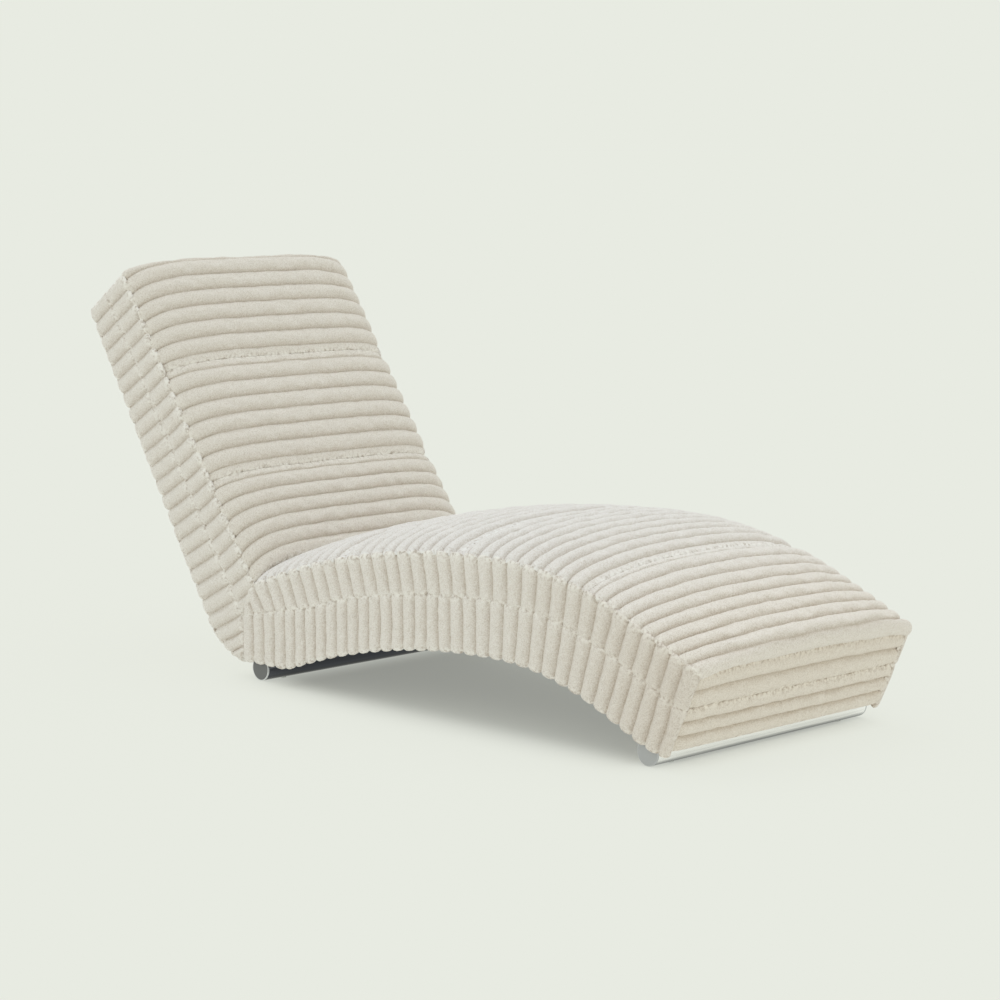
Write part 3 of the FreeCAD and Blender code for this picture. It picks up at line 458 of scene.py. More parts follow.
def top_cover(name, run, start, end, ribs, shape, seed, materials, wraps=(False, False)):
    """One sewn section of a crowned cover. A wrap is one more rib, rolled over the end of the run."""
    crown, profile, pillow = shape
    across, width, rise = crowned_rows(crown, profile)
    full = rise / crown
    low, high = start(rise), end(rise)
    if wraps[0]:
        low = low + HEAD_TUCK * (1 - full)
    if wraps[1]:
        high = high + FOOT_REACH * full - FOOT_TUCK * (1 - full)
    count = len(ribs)
    edges = np.concatenate([[0], np.cumsum(ribs)]) / sum(ribs)
    first, last = int(wraps[0]), int(wraps[1])
    sizes = [1.0] * (first + count) + [ROLL] * last
    valleys = {first: -1} if ribs[0] < 1 else {}
    if ribs[-1] < 1:
        valleys[first + count - 1] = 1

    def rolled(flat, over, distance, outward, reach, arch):
        """A soft turn from the last groove down to the seam of the end panel."""
        knuckle = run.at(distance + outward * reach, KNUCKLE_SHARE * rise + KNUCKLE_RISE)[None]
        seam = run.at(distance - outward * FOOT_INSET, arch * full - FOOT_DROP)[None]
        return flat * (1 - over) ** 2 + knuckle * 2 * over * (1 - over) + seam * over**2

    def surface(places, _):
        inner = np.clip(places - first, 0, count)
        share = np.interp(inner, np.arange(count + 1), edges)
        puff = pillow * full * np.power(np.sin(math.pi * np.clip(share, 0, 1)), PILLOW_ROUND)
        flat = run.at(low + (high - low) * share, rise + puff)
        if wraps[0]:
            flat = rolled(flat, np.clip(1 - places, 0, 1)[..., None], 0.0, -1, HEAD_KNUCKLE, 0.0)
        if wraps[1]:
            over = np.clip(places - first - count, 0, 1)[..., None]
            flat = rolled(flat, over, run.length, 1, FOOT_KNUCKLE, SEAM_ARCH)
        return in_space(flat, width)

    butts = {0: -1} if wraps[0] else {}
    if wraps[1]:
        butts[len(sizes) - 1] = 1
    return ribbed(name, surface, [RIB * size for size in sizes], across, seed, materials, valleys, butts)


# %% [markdown]
# ## The covers of the ends and the rear
#
# These panels are flat, apart from a low crown. The panel at the foot end hangs from a seam that
# is arched like the seat, and its near corner is gathered deeply. One function makes all five.

# %% A flat panel
END_CROWN, CROWN_EDGE = 5.0, 0.05
CORNER_DIP = 5.0


def flat_cover(
    name, run, low, high, count, seed, materials,
    joined=(True, True), arch=0.0, gather=GATHER, blunt=BLUNT_ENDS
):
    """One panel of the foot end, the head end or the rear. It dips where it is gathered deeply, and
    it is painted darker there as shade in the recess. A rib stays half high where its edge is
    joined. Round a sharp corner it falls to the seam instead, and the panel reaches further by its own
    crown."""
    across = seam_steps(2 * HALF_WIDTH, COVER_STEP)
    width = across - HALF_WIDTH
    rise = END_CROWN * drawn_in(HALF_WIDTH - np.abs(width), CROWN_EDGE * HALF_WIDTH)
    deep = gather > GATHER
    if deep:
        rise = rise - CORNER_DIP * (1 - drawn_in(across, gather))
    top = low - arch * dome(width / HALF_WIDTH, *SEAT_FORM[1])
    bottom = high if joined[1] else high + rise

    def surface(places, _):
        flat = run.at(top + (bottom - top) * places / count, rise[None, :] + 0 * places)
        return in_space(flat, width)

    butts = {k: side for k, side, held in ((0, -1, joined[0]), (count - 1, 1, joined[1])) if held}
    return ribbed(
        name, surface, [RIB] * count, across, seed, materials,
        butts=butts, gather=gather, blunt=blunt, recess_shade=float(deep)
    )


# %% [markdown]
# ## The bands on the sides
#
# A side band is sewn between two seams. Its grooves don't stand square to them: they fan out
# from the joint and lean less towards the foot. So each groove is set by its two ends, one on
# each seam, and a band is the surface between two rows of such ends.

# %% The grooves of a side band
CURVE_POINTS, STRAIGHT_POINTS = 801, 401
LAST_RIB = 6.0


def fine_line(place, low, high):
    """Closely spaced side-view points along a curve."""
    return place(np.linspace(low, high, CURVE_POINTS))


def straight(a, b):
    """Closely spaced side-view points along a straight line."""
    return a + (b - a) * np.linspace(0, 1, STRAIGHT_POINTS)[:, None]


def strides(line):
    """How far it is from each point of a line to the next."""
    return np.linalg.norm(np.diff(line, axis=0), axis=-1)


def distances(line):
    """How far along a line each of its points lies."""
    return np.concatenate([[0], np.cumsum(strides(line))])


def points_at(want, places, line):
    """Side-view points between those of a line, whose own places are given."""
    return np.stack([np.interp(want, places, line[:, k]) for k in (0, 1)], axis=-1)


def even_points(line, count):
    """Side-view points at even spacing along a fine line."""
    run_up = distances(line)
    return points_at(np.linspace(0, run_up[-1], count + 1), run_up, line)


def crossing(line, point, lean):
    """Where a fine line is crossed from a point along a lean from upright."""
    sides = (line[:, 0] - point[0]) * math.cos(lean) + (line[:, 1] - point[1]) * math.sin(lean)
    turns = np.nonzero((sides[:-1] > 0) != (sides[1:] > 0))[0]
    if len(turns) == 0:
        return line[0] if abs(sides[0]) < abs(sides[-1]) else line[-1]
    k = turns[0]
    share = sides[k] / (sides[k] - sides[k + 1])
    return line[k] * (1 - share) + line[k + 1] * share


def groove_ends(starts_on, count, ends_on, lean_at, corner=None):
    """The two ends of each groove of a band; the groove nearest to a corner is moved onto it."""
    starts = even_points(starts_on, count)
    ends = np.array([crossing(ends_on, p, lean_at(k / count)) for k, p in enumerate(starts)])
    ends[0], ends[-1] = ends_on[0], ends_on[-1]
    if corner is not None:
        ends[1 + int(np.argmin(np.linalg.norm(ends[1:-1] - corner, axis=-1)))] = corner
    return starts, ends


def slid(ends, shift):
    """Groove ends slid along their seam, from nothing at its middle to the full shift near the foot."""
    run_up = distances(ends)
    share = np.clip(2 * run_up / run_up[-1] - 1, 0, 1)
    want = np.minimum(run_up + shift * share, run_up[-1] - LAST_RIB)
    want[-1] = run_up[-1]
    return points_at(want, run_up, ends)


# %% One side band
BAND_STEP, BAND_GATHER, BAND_EDGE, BAND_SWELL = 7.5, 11.0, 0.8, 2.2
TOP_TIP, HEM_TIP, TIP_REACH = 6.0, 3.0, 14.0
# How full the rib tips stay, by how far they reach past the band's edge
BLUNT = {0.0: 0.5, TOP_TIP: 0.78, HEM_TIP: 0.55}
TURN_OUT, TURN_IN, CORNER_RIB = 2.0, 13.0, 1.15
FOOT_OUTWARD = np.array([math.cos(FRONT_FALL), -math.sin(FRONT_FALL)])


def side_band(name, upper, lower, side, seed, materials, tips=(0.0, 0.0), corner=False):
    """One ribbed band on a side, -1 for the right and 1 for the left, with rounded rib tips past its edges.
    At a corner its last rib turns in over the edge of the foot panel."""
    count = len(upper) - 1
    depth = float(np.mean(np.linalg.norm(upper - lower, axis=-1)))
    across = seam_steps(depth, BAND_STEP, BAND_GATHER)

    def surface(places, across):
        share = across / depth
        lines = np.arange(count + 1)
        turned = np.clip(places - (count - 1), 0, 1) if corner else 0 * places
        reached = places - turned + np.sin(turned * math.pi / 2)
        low, high = points_at(reached, lines, lower), points_at(reached, lines, upper)
        share = share if side < 0 else 1 - share
        lean = (high - low) / np.maximum(np.linalg.norm(high - low, axis=-1, keepdims=True), TINY)
        near_high = np.clip(1 - (1 - share) * depth / TIP_REACH, 0, 1)
        near_low = np.clip(1 - share * depth / TIP_REACH, 0, 1)
        past = rib_form(2 * (places % 1) - 1) * (tips[0] * near_high - tips[1] * near_low)
        flat = low + (high - low) * share[..., None] + lean * past[..., None]
        out = BAND_EDGE + BAND_SWELL * drawn_in(across, BAND_GATHER) * drawn_in(depth - across, BAND_GATHER)
        flat = flat + turned[..., None] * TURN_OUT * FOOT_OUTWARD
        inward = TURN_IN * (1 - np.cos(turned * math.pi / 2))
        return in_space(flat, side * (SKIN + out - inward))

    blunt = [BLUNT[tip] for tip in tips[::-1]]
    heights = [SIDE_RIB] * (count - 1) + [SIDE_RIB * (CORNER_RIB if corner else 1.0)]
    return ribbed(
        name, surface, heights, across, seed, materials,
        thick=2.0, wander=0.8, gather=9.0, blunt=blunt[::-side]
    )


# %% [markdown]
# ## Materials
#
# Each finish is worked out from the place on the object, so nothing is painted by an image.
# Blender joins shader nodes by links, which is slow to read as a script. Two small classes let
# the script write a sum as a sum and a node as one call.

# %% Shader sums written as plain sums
# The places of a Mix node's two colours among its inputs, and of the mixed one among its outputs
MIX_LOW, MIX_HIGH, MIX_OUT = 6, 7, 2


def feed(tree, slot, value):
    """Fill a socket with a signal, with another socket or with a plain value."""
    if isinstance(value, Signal):
        value = value.socket
    if isinstance(value, bpy.types.NodeSocket):
        tree.links.new(value, slot)
    else:
        slot.default_value = value


class Signal:
    """A shader socket that can be added, multiplied and mixed."""

    def __init__(self, tree, socket):
        self.tree, self.socket = tree, socket

    def maths(self, operation, *others):
        node = self.tree.nodes.new("ShaderNodeMath")
        node.operation = operation
        for slot, value in zip(node.inputs, (self, *others)):
            feed(self.tree, slot, value)
        return Signal(self.tree, node.outputs[0])

    def __add__(self, other):
        return self.maths("ADD", other)

    __radd__ = __add__

    def __mul__(self, other):
        return self.maths("MULTIPLY", other)

    __rmul__ = __mul__

    def __sub__(self, other):
        return self.maths("SUBTRACT", other)

    def __rsub__(self, other):
        return (self * -1) + other

    def __truediv__(self, other):
        return self.maths("DIVIDE", other)

    def __pow__(self, other):
        return self.maths("POWER", other)

    def clamp(self):
        return self.maths("MAXIMUM", 0.0).maths("MINIMUM", 1.0)


# %% A material built node by node
class Finish:
    """A material on the Principled shader, with its places read from Object coordinates."""

    def __init__(self, name, **surface):
        self.material = bpy.data.materials.new(name)
        self.material.use_nodes = True
        self.tree = self.material.node_tree
        self.shader = self.tree.nodes["Principled BSDF"]
        for key, value in surface.items():
            self.shader.inputs[key.replace("_", " ")].default_value = value
        self.place = self.node("ShaderNodeTexCoord").outputs["Object"]

    def node(self, kind, settings=(), **sockets):
        """A node with its settings and its sockets, which may be numbers, colours or signals."""
        node = self.tree.nodes.new(kind)
        for key, value in dict(settings).items():
            setattr(node, key, value)
        for key, value in sockets.items():
            feed(self.tree, node.inputs[key.replace("_", " ")], value)
        return node

    def out(self, node, name=0):
        return Signal(self.tree, node.outputs[name])

    def grain(self, scale, detail=2.0, stretch=(1, 1, 1)):
        """Noise from 0 to 1 at a scale per metre."""
        place = self.place
        if stretch != (1, 1, 1):
            place = self.node("ShaderNodeMapping", Vector=place, Scale=stretch).outputs[0]
        return self.out(self.node("ShaderNodeTexNoise", Vector=place, Scale=scale, Detail=detail))

    def axes(self):
        """The three coordinates of the place, in metres."""
        node = self.node("ShaderNodeSeparateXYZ", Vector=self.place)
        return [self.out(node, k) for k in range(3)]

    def attribute(self, name):
        node = self.node("ShaderNodeAttribute", {"attribute_name": name})
        return self.out(node, "Fac")

    def blend(self, low, high, share):
        """A colour between two colours."""
        node = self.node("ShaderNodeMix", {"data_type": "RGBA"})
        feed(self.tree, node.inputs[0], share)
        for slot, value in ((node.inputs[MIX_LOW], low), (node.inputs[MIX_HIGH], high)):
            feed(self.tree, slot, value if isinstance(value, Signal) else (*value, 1))
        return Signal(self.tree, node.outputs[MIX_OUT])

    def tinted(self, colour, tint):
        """One colour multiplied by another."""
        node = self.node("ShaderNodeMix", {"data_type": "RGBA", "blend_type": "MULTIPLY"})
        node.inputs[0].default_value = 1.0
        self.tree.links.new(colour.socket, node.inputs[MIX_LOW])
        self.tree.links.new(tint.socket, node.inputs[MIX_HIGH])
        return Signal(self.tree, node.outputs[MIX_OUT])

    def set(self, **sockets):
        for key, value in sockets.items():
            self.tree.links.new(value.socket, self.shader.inputs[key.replace("_", " ")])
        return self

    def bump(self, height, distance, strength=1.0):
        node = self.node("ShaderNodeBump", Height=height, Distance=distance, Strength=strength)
        return self.set(Normal=self.out(node))


# %% [markdown]
# ## Plush
#
# Plush is palest on the crest of a rib, and towards a groove it is painted warmer and darker as
# shade. Fine noise parts the pile, and tufts stand up along a seam. The pile could be hair, but
# hair isn't kept in an exported mesh, so a bump and a colour that follow the ribs stand for it.
# The tint of each panel is painted light and shade too: a little cool on the seat, deeper on the
# back and on the ends and sides, and deeper towards the foot end.

# %% Plush
# The groove colour is painted shade; crest, tuft and stitch colours are the plush's own
PLUSH_GROOVE_SHADE, PLUSH_CREST = (0.6, 0.53, 0.45), (0.95, 0.92, 0.885)
PLUSH_TUFT, PLUSH_STITCH = (1.0, 0.98, 0.94), (0.36, 0.28, 0.2)
CLUMPS, FIBRES, TUFTS = (110, 3.0), (430, 3.0), (150, 1.5)
TUFT_FROM, STITCH_TO, TUFT_EDGE = 0.48, 0.42, 10
# Where the painted shade towards the foot end starts, how far it reaches and how it rises
FOOT_SHADE_FROM, FOOT_SHADE_OVER, FOOT_SHADE_POWER = 0.3, 0.5, 1.6
PILE_DEPTH = 0.0045


def plush(name, tone=(1.0, 1.0, 1.0), foot_shade_tone=None, fall=0.4):
    """The crest is pale, a groove is painted warmer and darker as shade, and a seam is set with pale
    tufts and dark stitches. The tint is painted light and shade; a second one is reached towards
    the foot end."""
    finish = Finish(name, Roughness=0.95, Sheen_Weight=0.2, Sheen_Roughness=0.6, Specular_IOR_Level=0.15)
    pile_open_and_lit, seam = finish.attribute("pile_open_and_lit").clamp(), finish.attribute("stitch").clamp()
    clumps, fibres, tufts = (finish.grain(*grain) for grain in (CLUMPS, FIBRES, TUFTS))
    # The crest colour fades into the painted groove shade where the rib falls; the noise is the pile's own
    # mottling
    open_and_lit = (0.8 * pile_open_and_lit ** fall + 0.2 * (clumps - 0.5) + 1.7 * (fibres - 0.5)).clamp()
    colour = finish.blend(PLUSH_GROOVE_SHADE, PLUSH_CREST, open_and_lit)
    tufted = ((tufts - TUFT_FROM) * TUFT_EDGE).clamp() * (seam * 1.6).clamp()
    stitched = ((STITCH_TO - tufts) * TUFT_EDGE).clamp() * seam * 0.6
    colour = finish.blend(finish.blend(colour, PLUSH_TUFT, tufted), PLUSH_STITCH, stitched)
    # The tint is painted light and shade, turning to the second tint towards the foot end
    along = ((finish.axes()[0] - FOOT_SHADE_FROM) / FOOT_SHADE_OVER).clamp() ** FOOT_SHADE_POWER
    tint = finish.blend(tone, foot_shade_tone or tone, along)
    finish.set(Base_Color=finish.tinted(colour, tint))
    finish.bump(clumps * 0.4 + fibres * 0.5 + tufts * seam * 0.6, PILE_DEPTH, 0.9)
    return finish.material


# %% [markdown]
# ## Cloth, wood, metal and plastic
#
# The pieces inside and the foot tubes have plain finishes: two colours, mixed by a noise that is
# stretched along the grain, the marks or the polish. The tubes stand in the lounger's own shade,
# and what they mirror there is dark, so their lower side gets a dark colour.


# %% The plain finishes
def plain_cloth(name, colour, dark, scale, depth):
    """Woven or felted cloth, raised where its noise is light."""
    finish = Finish(name, Roughness=0.92)
    weave = finish.grain(scale, 3.0)
    finish.set(Base_Color=finish.blend(dark, colour, weave)).bump(weave, depth)
    return finish.material


def wood(name, light, dark, rings):
    """Sawn wood with its grain along the length of the lounger."""
    finish = Finish(name, Roughness=0.6)
    grain = finish.grain(rings, 4.0, (0.12, 1.0, 1.0))
    finish.set(Base_Color=finish.blend(dark, light, grain)).bump(grain, 0.0004)
    return finish.material


def metal(name, colour, dark, roughness, scale):
    """Plain metal with marks drawn out across the lounger."""
    finish = Finish(name, Metallic=1.0)
    marks = finish.grain(scale, 3.0, (1.0, 0.08, 1.0))
    finish.set(Base_Color=finish.blend(dark, colour, marks), Roughness=marks * 0.12 + roughness)
    return finish.material


def plastic(name, colour, dark, roughness):
    """Moulded plastic with a faint grain."""
    finish = Finish(name)
    marks = finish.grain(900, 2.0)
    finish.set(Base_Color=finish.blend(dark, colour, marks), Roughness=marks * 0.1 + roughness)
    finish.bump(marks, 0.0001)
    return finish.material


# %% The tubes and their caps, with places in metres
TUBE_PLACES, TUBE_AXIS = (0.748871, -0.324), 0.026
DARK_BELOW, DARK_FADE = 0.005, 0.009
RIM_START, RIM_EDGE = 0.0228, 0.001
# The caps behind are painted darker as shade and their rims brighter as a highlight
FACE_SHADE_BEHIND, RIM_HIGHLIGHT_IN_FRONT, FRONT_STEEPNESS = 0.34, 0.7, 50


def chrome(name, high, low, roughness):
    """Polished tube, lighter above than below, with fine streaks along it."""
    finish = Finish(name, Metallic=1.0)
    height = ((finish.axes()[2] - DARK_BELOW) / DARK_FADE).clamp()
    streaks = finish.grain(420, 2.0, (1.0, 0.02, 1.0))
    shade = (height + 0.7 * (streaks - 0.5)).clamp()
    finish.set(Base_Color=finish.blend(low, high, shade), Roughness=streaks * 0.1 + roughness)
    return finish.material


def end_cap(name, face, rim):
    """A flat plastic cap with a rolled metal rim. On the tube behind, the face is painted darker as shade
    and the rim is painted brighter as a highlight.
    """
    finish = Finish(name, Specular_IOR_Level=0.6)
    x, _, z = finish.axes()
    rise = (z - TUBE_AXIS) * (z - TUBE_AXIS)
    out = [(rise + (x - place) * (x - place)) ** 0.5 for place in TUBE_PLACES]
    near = out[0].maths("MINIMUM", out[1])
    marks = finish.grain(700, 2.0)
    edge = ((near - RIM_START) / RIM_EDGE).clamp()
    lit = (x * FRONT_STEEPNESS).clamp()
    plain = finish.blend(tuple(FACE_SHADE_BEHIND * c for c in face), face, lit)
    bright = finish.blend(rim, tuple(RIM_HIGHLIGHT_IN_FRONT * c for c in rim), lit)
    finish.set(Base_Color=finish.blend(plain, bright, edge), Roughness=marks * 0.15 + 0.3, Metallic=edge)
    finish.bump(marks, 0.0001)
    return finish.material


# %% Every finish, and the one that each CAD node takes
finishes = {
    # The seat's tint is a little cool, as painted light from above, and deeper towards the foot, as painted
    # shade
    "plush": plush("plush", (0.985, 0.985, 1.015), (0.995, 0.962, 0.935), 0.62),
    "foam": plain_cloth("foam", (0.88, 0.84, 0.66), (0.78, 0.72, 0.52), 900, 0.0006),
    "wadding": plain_cloth("wadding", (0.9, 0.9, 0.88), (0.76, 0.76, 0.74), 260, 0.002),
    "webbing": plain_cloth("webbing", (0.2, 0.19, 0.17), (0.08, 0.075, 0.07), 700, 0.0006),
    "lining": plain_cloth("lining", (0.06, 0.06, 0.065), (0.03, 0.03, 0.032), 500, 0.0005),
    "plywood": wood("plywood", (0.72, 0.58, 0.4), (0.55, 0.4, 0.25), 90),
    "timber": wood("timber", (0.78, 0.63, 0.42), (0.6, 0.44, 0.26), 60),
    "tube": chrome("tube", (1.0, 1.0, 1.0), (0.14, 0.145, 0.155), 0.16),
    "cap": end_cap("cap", (0.45, 0.455, 0.465), (0.8, 0.81, 0.83)),
    "glide": plastic("glide", (0.8, 0.81, 0.78), (0.7, 0.71, 0.68), 0.5),
    "fastener": metal("fastener", (0.7, 0.7, 0.68), (0.5, 0.5, 0.48), 0.3, 700),
}
in_shade = {"rear_foot_tube": chrome("tube_in_shade", (0.11, 0.115, 0.135), (0.03, 0.03, 0.035), 0.08)}
for entry in frame["record"]["subparts"]:
    node = frame["nodes"][entry["node"]]
    node.data.materials.clear()
    node.data.materials.append(in_shade.get(entry["node"], finishes[entry["material_slot"]]))

# %% [markdown]
# ## The panels of the cover
#
# The seat has four sewn sections and the back three. On each side of a stitched seam lies a rib
# of half the width, which slopes down to the stitches. Each panel stands for one CAD node, so it
# keeps that node's seams and its number of ribs.

# %% The tones of the plush, painted shade by panel
cloth = [finishes["plush"]]
# The back and the end and side panels take deeper tints as painted shade; the sides deepen towards the foot
# end
back_cloth_in_shade = [plush("plush_back_in_shade", (0.935, 0.908, 0.88))]
side_cloth_in_shade = [plush("plush_side_in_shade", (0.98, 0.962, 0.955), (0.905, 0.86, 0.825))]
foot_cloth_in_shade = [plush("plush_foot_in_shade", (0.97, 0.92, 0.865))]
print("tones of plush:", sum(material.name.startswith("plush") for material in bpy.data.materials))

# %% The sections of seat and back
SEAT_SEAMS, SEAT_RIBS = (285.0, 625.0, 955.0), (8, 9, 9, 8)
BACK_SEAMS, BACK_RIBS = (246.0, 512.0), (6, 6, 6)
SEAM_RIB = 0.5
panels = {}


def same(distance):
    """A limit of a cover that is the same at every rise."""
    return lambda rise: np.full(np.shape(rise), float(distance))


def sewn_sections(cover, names, run, limits, seams, ribs, form, seed, materials, wraps):
    """The sections of one crowned cover, from its first limit to its last."""
    starts = [limits[0]] + [same(seam + HALF_GAP) for seam in seams]
    ends = [same(seam - HALF_GAP) for seam in seams] + [limits[1]]
    for k, (name, count) in enumerate(zip(names, ribs)):
        first, last = k == 0, k == len(names) - 1
        widths = [SEAM_RIB] * (not first) + [1.0] * count + [SEAM_RIB] * (not last)
        panels[cover + name] = top_cover(
            cover + name + "_plush", run, starts[k], ends[k], widths, form,
            seed + k, materials, (first and wraps[0], last and wraps[1])
        )


sewn_sections(
    "seat_cover_", ("rear", "middle_rear", "middle_front", "front"), seat_run,
    (seat_start, same(seat_run.length)), SEAT_SEAMS, SEAT_RIBS, SEAT_FORM, 3.1, cloth, (False, True)
)
sewn_sections(
    "back_cover_", ("head", "middle", "lumbar"), back_run,
    (same(0.0), back_end), BACK_SEAMS, BACK_RIBS, BACK_FORM, 13.3, back_cloth_in_shade, (True, False)
)
print("sections:", len(panels))

# %% The panels of the foot end, the head end and the rear
FOOT_RIBS, FOOT_HEM_LIFT = (2, 3), 7.0
FOOT_GATHER, FOOT_BLUNT = 36.0, (0.15, 0.75)
HEAD_RIBS, HEAD_GAP = 4, 0.1
REAR_RIBS, FOOT_RAIL_WIDTH = (6, 18), 50.0
middle = foot_run.length * FOOT_RIBS[0] / sum(FOOT_RIBS)
foot_hem = foot_run.length - FOOT_HEM_LIFT
head_low, head_high = COVER_THICK + SOFT_GAP, head_run.length - HEAD_GAP
both_joined, sharp_end = (True, True), (True, False)
for name, run, low, high, count, seed, *form in (
    ("foot_end_cover_upper", foot_run, SOFT_GAP, middle - HALF_GAP, FOOT_RIBS[0], 21.2,
     both_joined, SEAM_ARCH, FOOT_GATHER, FOOT_BLUNT),
    ("foot_end_cover_lower", foot_run, middle + HALF_GAP, foot_hem, FOOT_RIBS[1], 22.4,
     both_joined, 0.0, FOOT_GATHER, FOOT_BLUNT),
    ("head_end_cover", head_run, head_low, head_high, HEAD_RIBS, 23.1, sharp_end),
    ("rear_cover_lower", rear_run, FOOT_RAIL_WIDTH / 2, rear_corner_end - HALF_GAP, REAR_RIBS[0], 24.7),
    ("rear_cover_upper", rear_run, rear_corner_end + HALF_GAP, rear_run.length, REAR_RIBS[1], 25.9,
     sharp_end),
):
    stuff = foot_cloth_in_shade if run is foot_run else side_cloth_in_shade
    panels[name] = flat_cover(name + "_plush", run, low, high, count, seed, stuff, *form)
print("sections and end panels:", len(panels))

# %% [markdown]
# ## The seams of the side bands
#
# Two bands lie along the seat and two along the back. The seam between a pair starts at a knee
# behind the joint, runs straight to the depth of the upper band and then follows its edge.

# %% The seams and their corners
SEAT_BAND, BACK_BAND = 75.0, 66.0
KNEE_BACK, KNEE_DROP, FOOT_EDGE = 36.0, 58.0, 12.0
SEAT_EASE, BACK_EASE = 150.0, 140.0


def seat_hem(distance):
    """The lower edge of the seat's side, nowhere lower than the hem."""
    points = seat_run.at(distance, -SEAT_DEPTH)
    hem = np.where(points[..., 0] < PEAK_X, REAR_HEM, FRONT_HEM)
    points[..., 1] = np.maximum(points[..., 1], hem)
    return points


def solve_one(measure, low, high):
    """One distance where a rising measure passes through zero."""
    return float(solve(measure, np.array([low]), np.array([high]))[0])


def mitre_corners(side):
    """The joint, the knee and the foot of the mitred edge, on the back's side (-1) or the seat's (1)."""
    x = JOINT_X + side * MITRE_GAP / 2
    knee = np.array([x - KNEE_BACK, JOINT_Z - KNEE_DROP])
    return np.array([x, JOINT_Z]), knee, np.array([knee[0], REAR_HEM])


def middle_seam(run, depth, low, high, knee, offset):
    """The seam between two bands, which leaves the knee straight and then follows its run."""
    followed = fine_line(lambda d: run.at(d, offset - depth), low, high)
    return np.concatenate([[knee + (0, offset)], followed])


def tip(corner, other):
    """The far end of the short edge that a band has at a corner, so that it doesn't end in a point."""
    return corner + (other - corner) * FOOT_EDGE / np.linalg.norm(other - corner)


# %% The bands along the seat
UPPER_RIBS, LOWER_RIBS = 35, 36
RIB_LEAN = math.radians(10)
# How far the upper and the lower groove ends slide towards the foot
FOOT_SLIDES = {"seat_upper_band": (7.0, 12.0), "seat_lower_band": (12.0, 22.0)}
length = seat_run.length
peak_share = seat_run.ends[1][0] / length
joint, knee, foot = mitre_corners(1)
upper_seam, lower_seam = (
    middle_seam(seat_run, SEAT_BAND, SEAT_EASE, length, knee, offset) for offset in (HALF_GAP, -HALF_GAP)
)
top = np.concatenate([straight(tip(upper_seam[0], joint), joint), fine_line(seat_run.at, MITRE_GAP, length)])
hem_start = solve_one(lambda d: seat_hem(d)[..., 0] - foot[0], -SEAT_DEPTH, SEAT_DEPTH)
hem = fine_line(seat_hem, hem_start, length)
bands = {
    "seat_upper_band": groove_ends(
        upper_seam, UPPER_RIBS, top, lambda s: seat_run.heading(length * s) + RIB_LEAN * (1 - s), joint
    )[::-1],
    "seat_lower_band": groove_ends(
        hem, LOWER_RIBS, lower_seam,
        lambda s: min(seat_run.heading(length * s), 0.0) if s > peak_share else 0.0
    )[::-1],
}
for name, slides in FOOT_SLIDES.items():
    bands[name] = tuple(slid(ends, shift) for ends, shift in zip(bands[name], slides))
print("grooves on the seat's sides:", [len(upper) for upper, _ in bands.values()])

# %% The bands along the back
FRONT_RIBS, BACK_REAR_RIBS = 21, 25
REAR_TURN = math.radians(10)
joint, knee, foot = mitre_corners(-1)
front_seam, rear_seam = (
    middle_seam(back_run, BACK_BAND, BACK_LENGTH - BACK_EASE, 0.0, knee, offset)[::-1]
    for offset in (HALF_GAP, -HALF_GAP)
)
front = even_points(np.array([back_run.at(0.0), joint]), FRONT_RIBS)
square = np.array([front_seam[0]] + [crossing(front_seam, p, -BACK_SLOPE) for p in front[1:]])
bands["back_front_band"] = (
    np.concatenate([front, [tip(front_seam[-1], joint)]]), np.concatenate([square, front_seam[-1:]])
)
low_tip = foot + (0, FOOT_EDGE)
rear_stop = solve_one(lambda d: foot[0] - rear_run.at(d)[..., 0], 0.0, rear_corner_end)
bands["back_rear_band"] = groove_ends(
    fine_line(rear_run.at, rear_run.length, rear_stop), BACK_REAR_RIBS,
    np.concatenate([rear_seam, straight(rear_seam[-1], low_tip)[1:]]),
    lambda s: -BACK_SLOPE - REAR_TURN * s, rear_seam[-1]
)[::-1]
print("grooves on the sides:", {name: len(upper) for name, (upper, _) in bands.items()})

# %% The panels of the side bands
tips = {
    "seat_upper_band": (TOP_TIP, 0.0), "seat_lower_band": (0.0, HEM_TIP),
    "back_front_band": (TOP_TIP, 0.0), "back_rear_band": (0.0, HEM_TIP),
}
for j, (name, (upper, lower)) in enumerate(bands.items()):
    for side, word in ((-1, "_right"), (1, "_left")):
        panels[name + word] = side_band(
            name + word + "_plush", upper, lower, side, 31.7 + 3 * j + side, side_cloth_in_shade, tips[name],
            name.startswith("seat")
        )
print("panels:", len(panels), "grid points:", sum(len(p.data.vertices) for p in panels.values()))

# %% [markdown]
# ## Swelling the cloth
#
# Each rib is a channel held along its two grooves and at its seams. Pressure inside swells the
# cloth between them, and the spare cloth buckles a little, as sewn plush does. A formula could
# round the ribs too, but then all would be alike.


# %% The cloth simulation of all the panels together
def read(rows, key, width=1):
    """One value of each row of Blender's data, or a few of them side by side."""
    flat = np.empty(len(rows) * width)
    rows.foreach_get(key, flat)
    return flat.reshape(-1, width) if width > 1 else flat


def coordinates(mesh):
    """The places of a mesh's points."""
    return read(mesh.vertices, "co", 3)


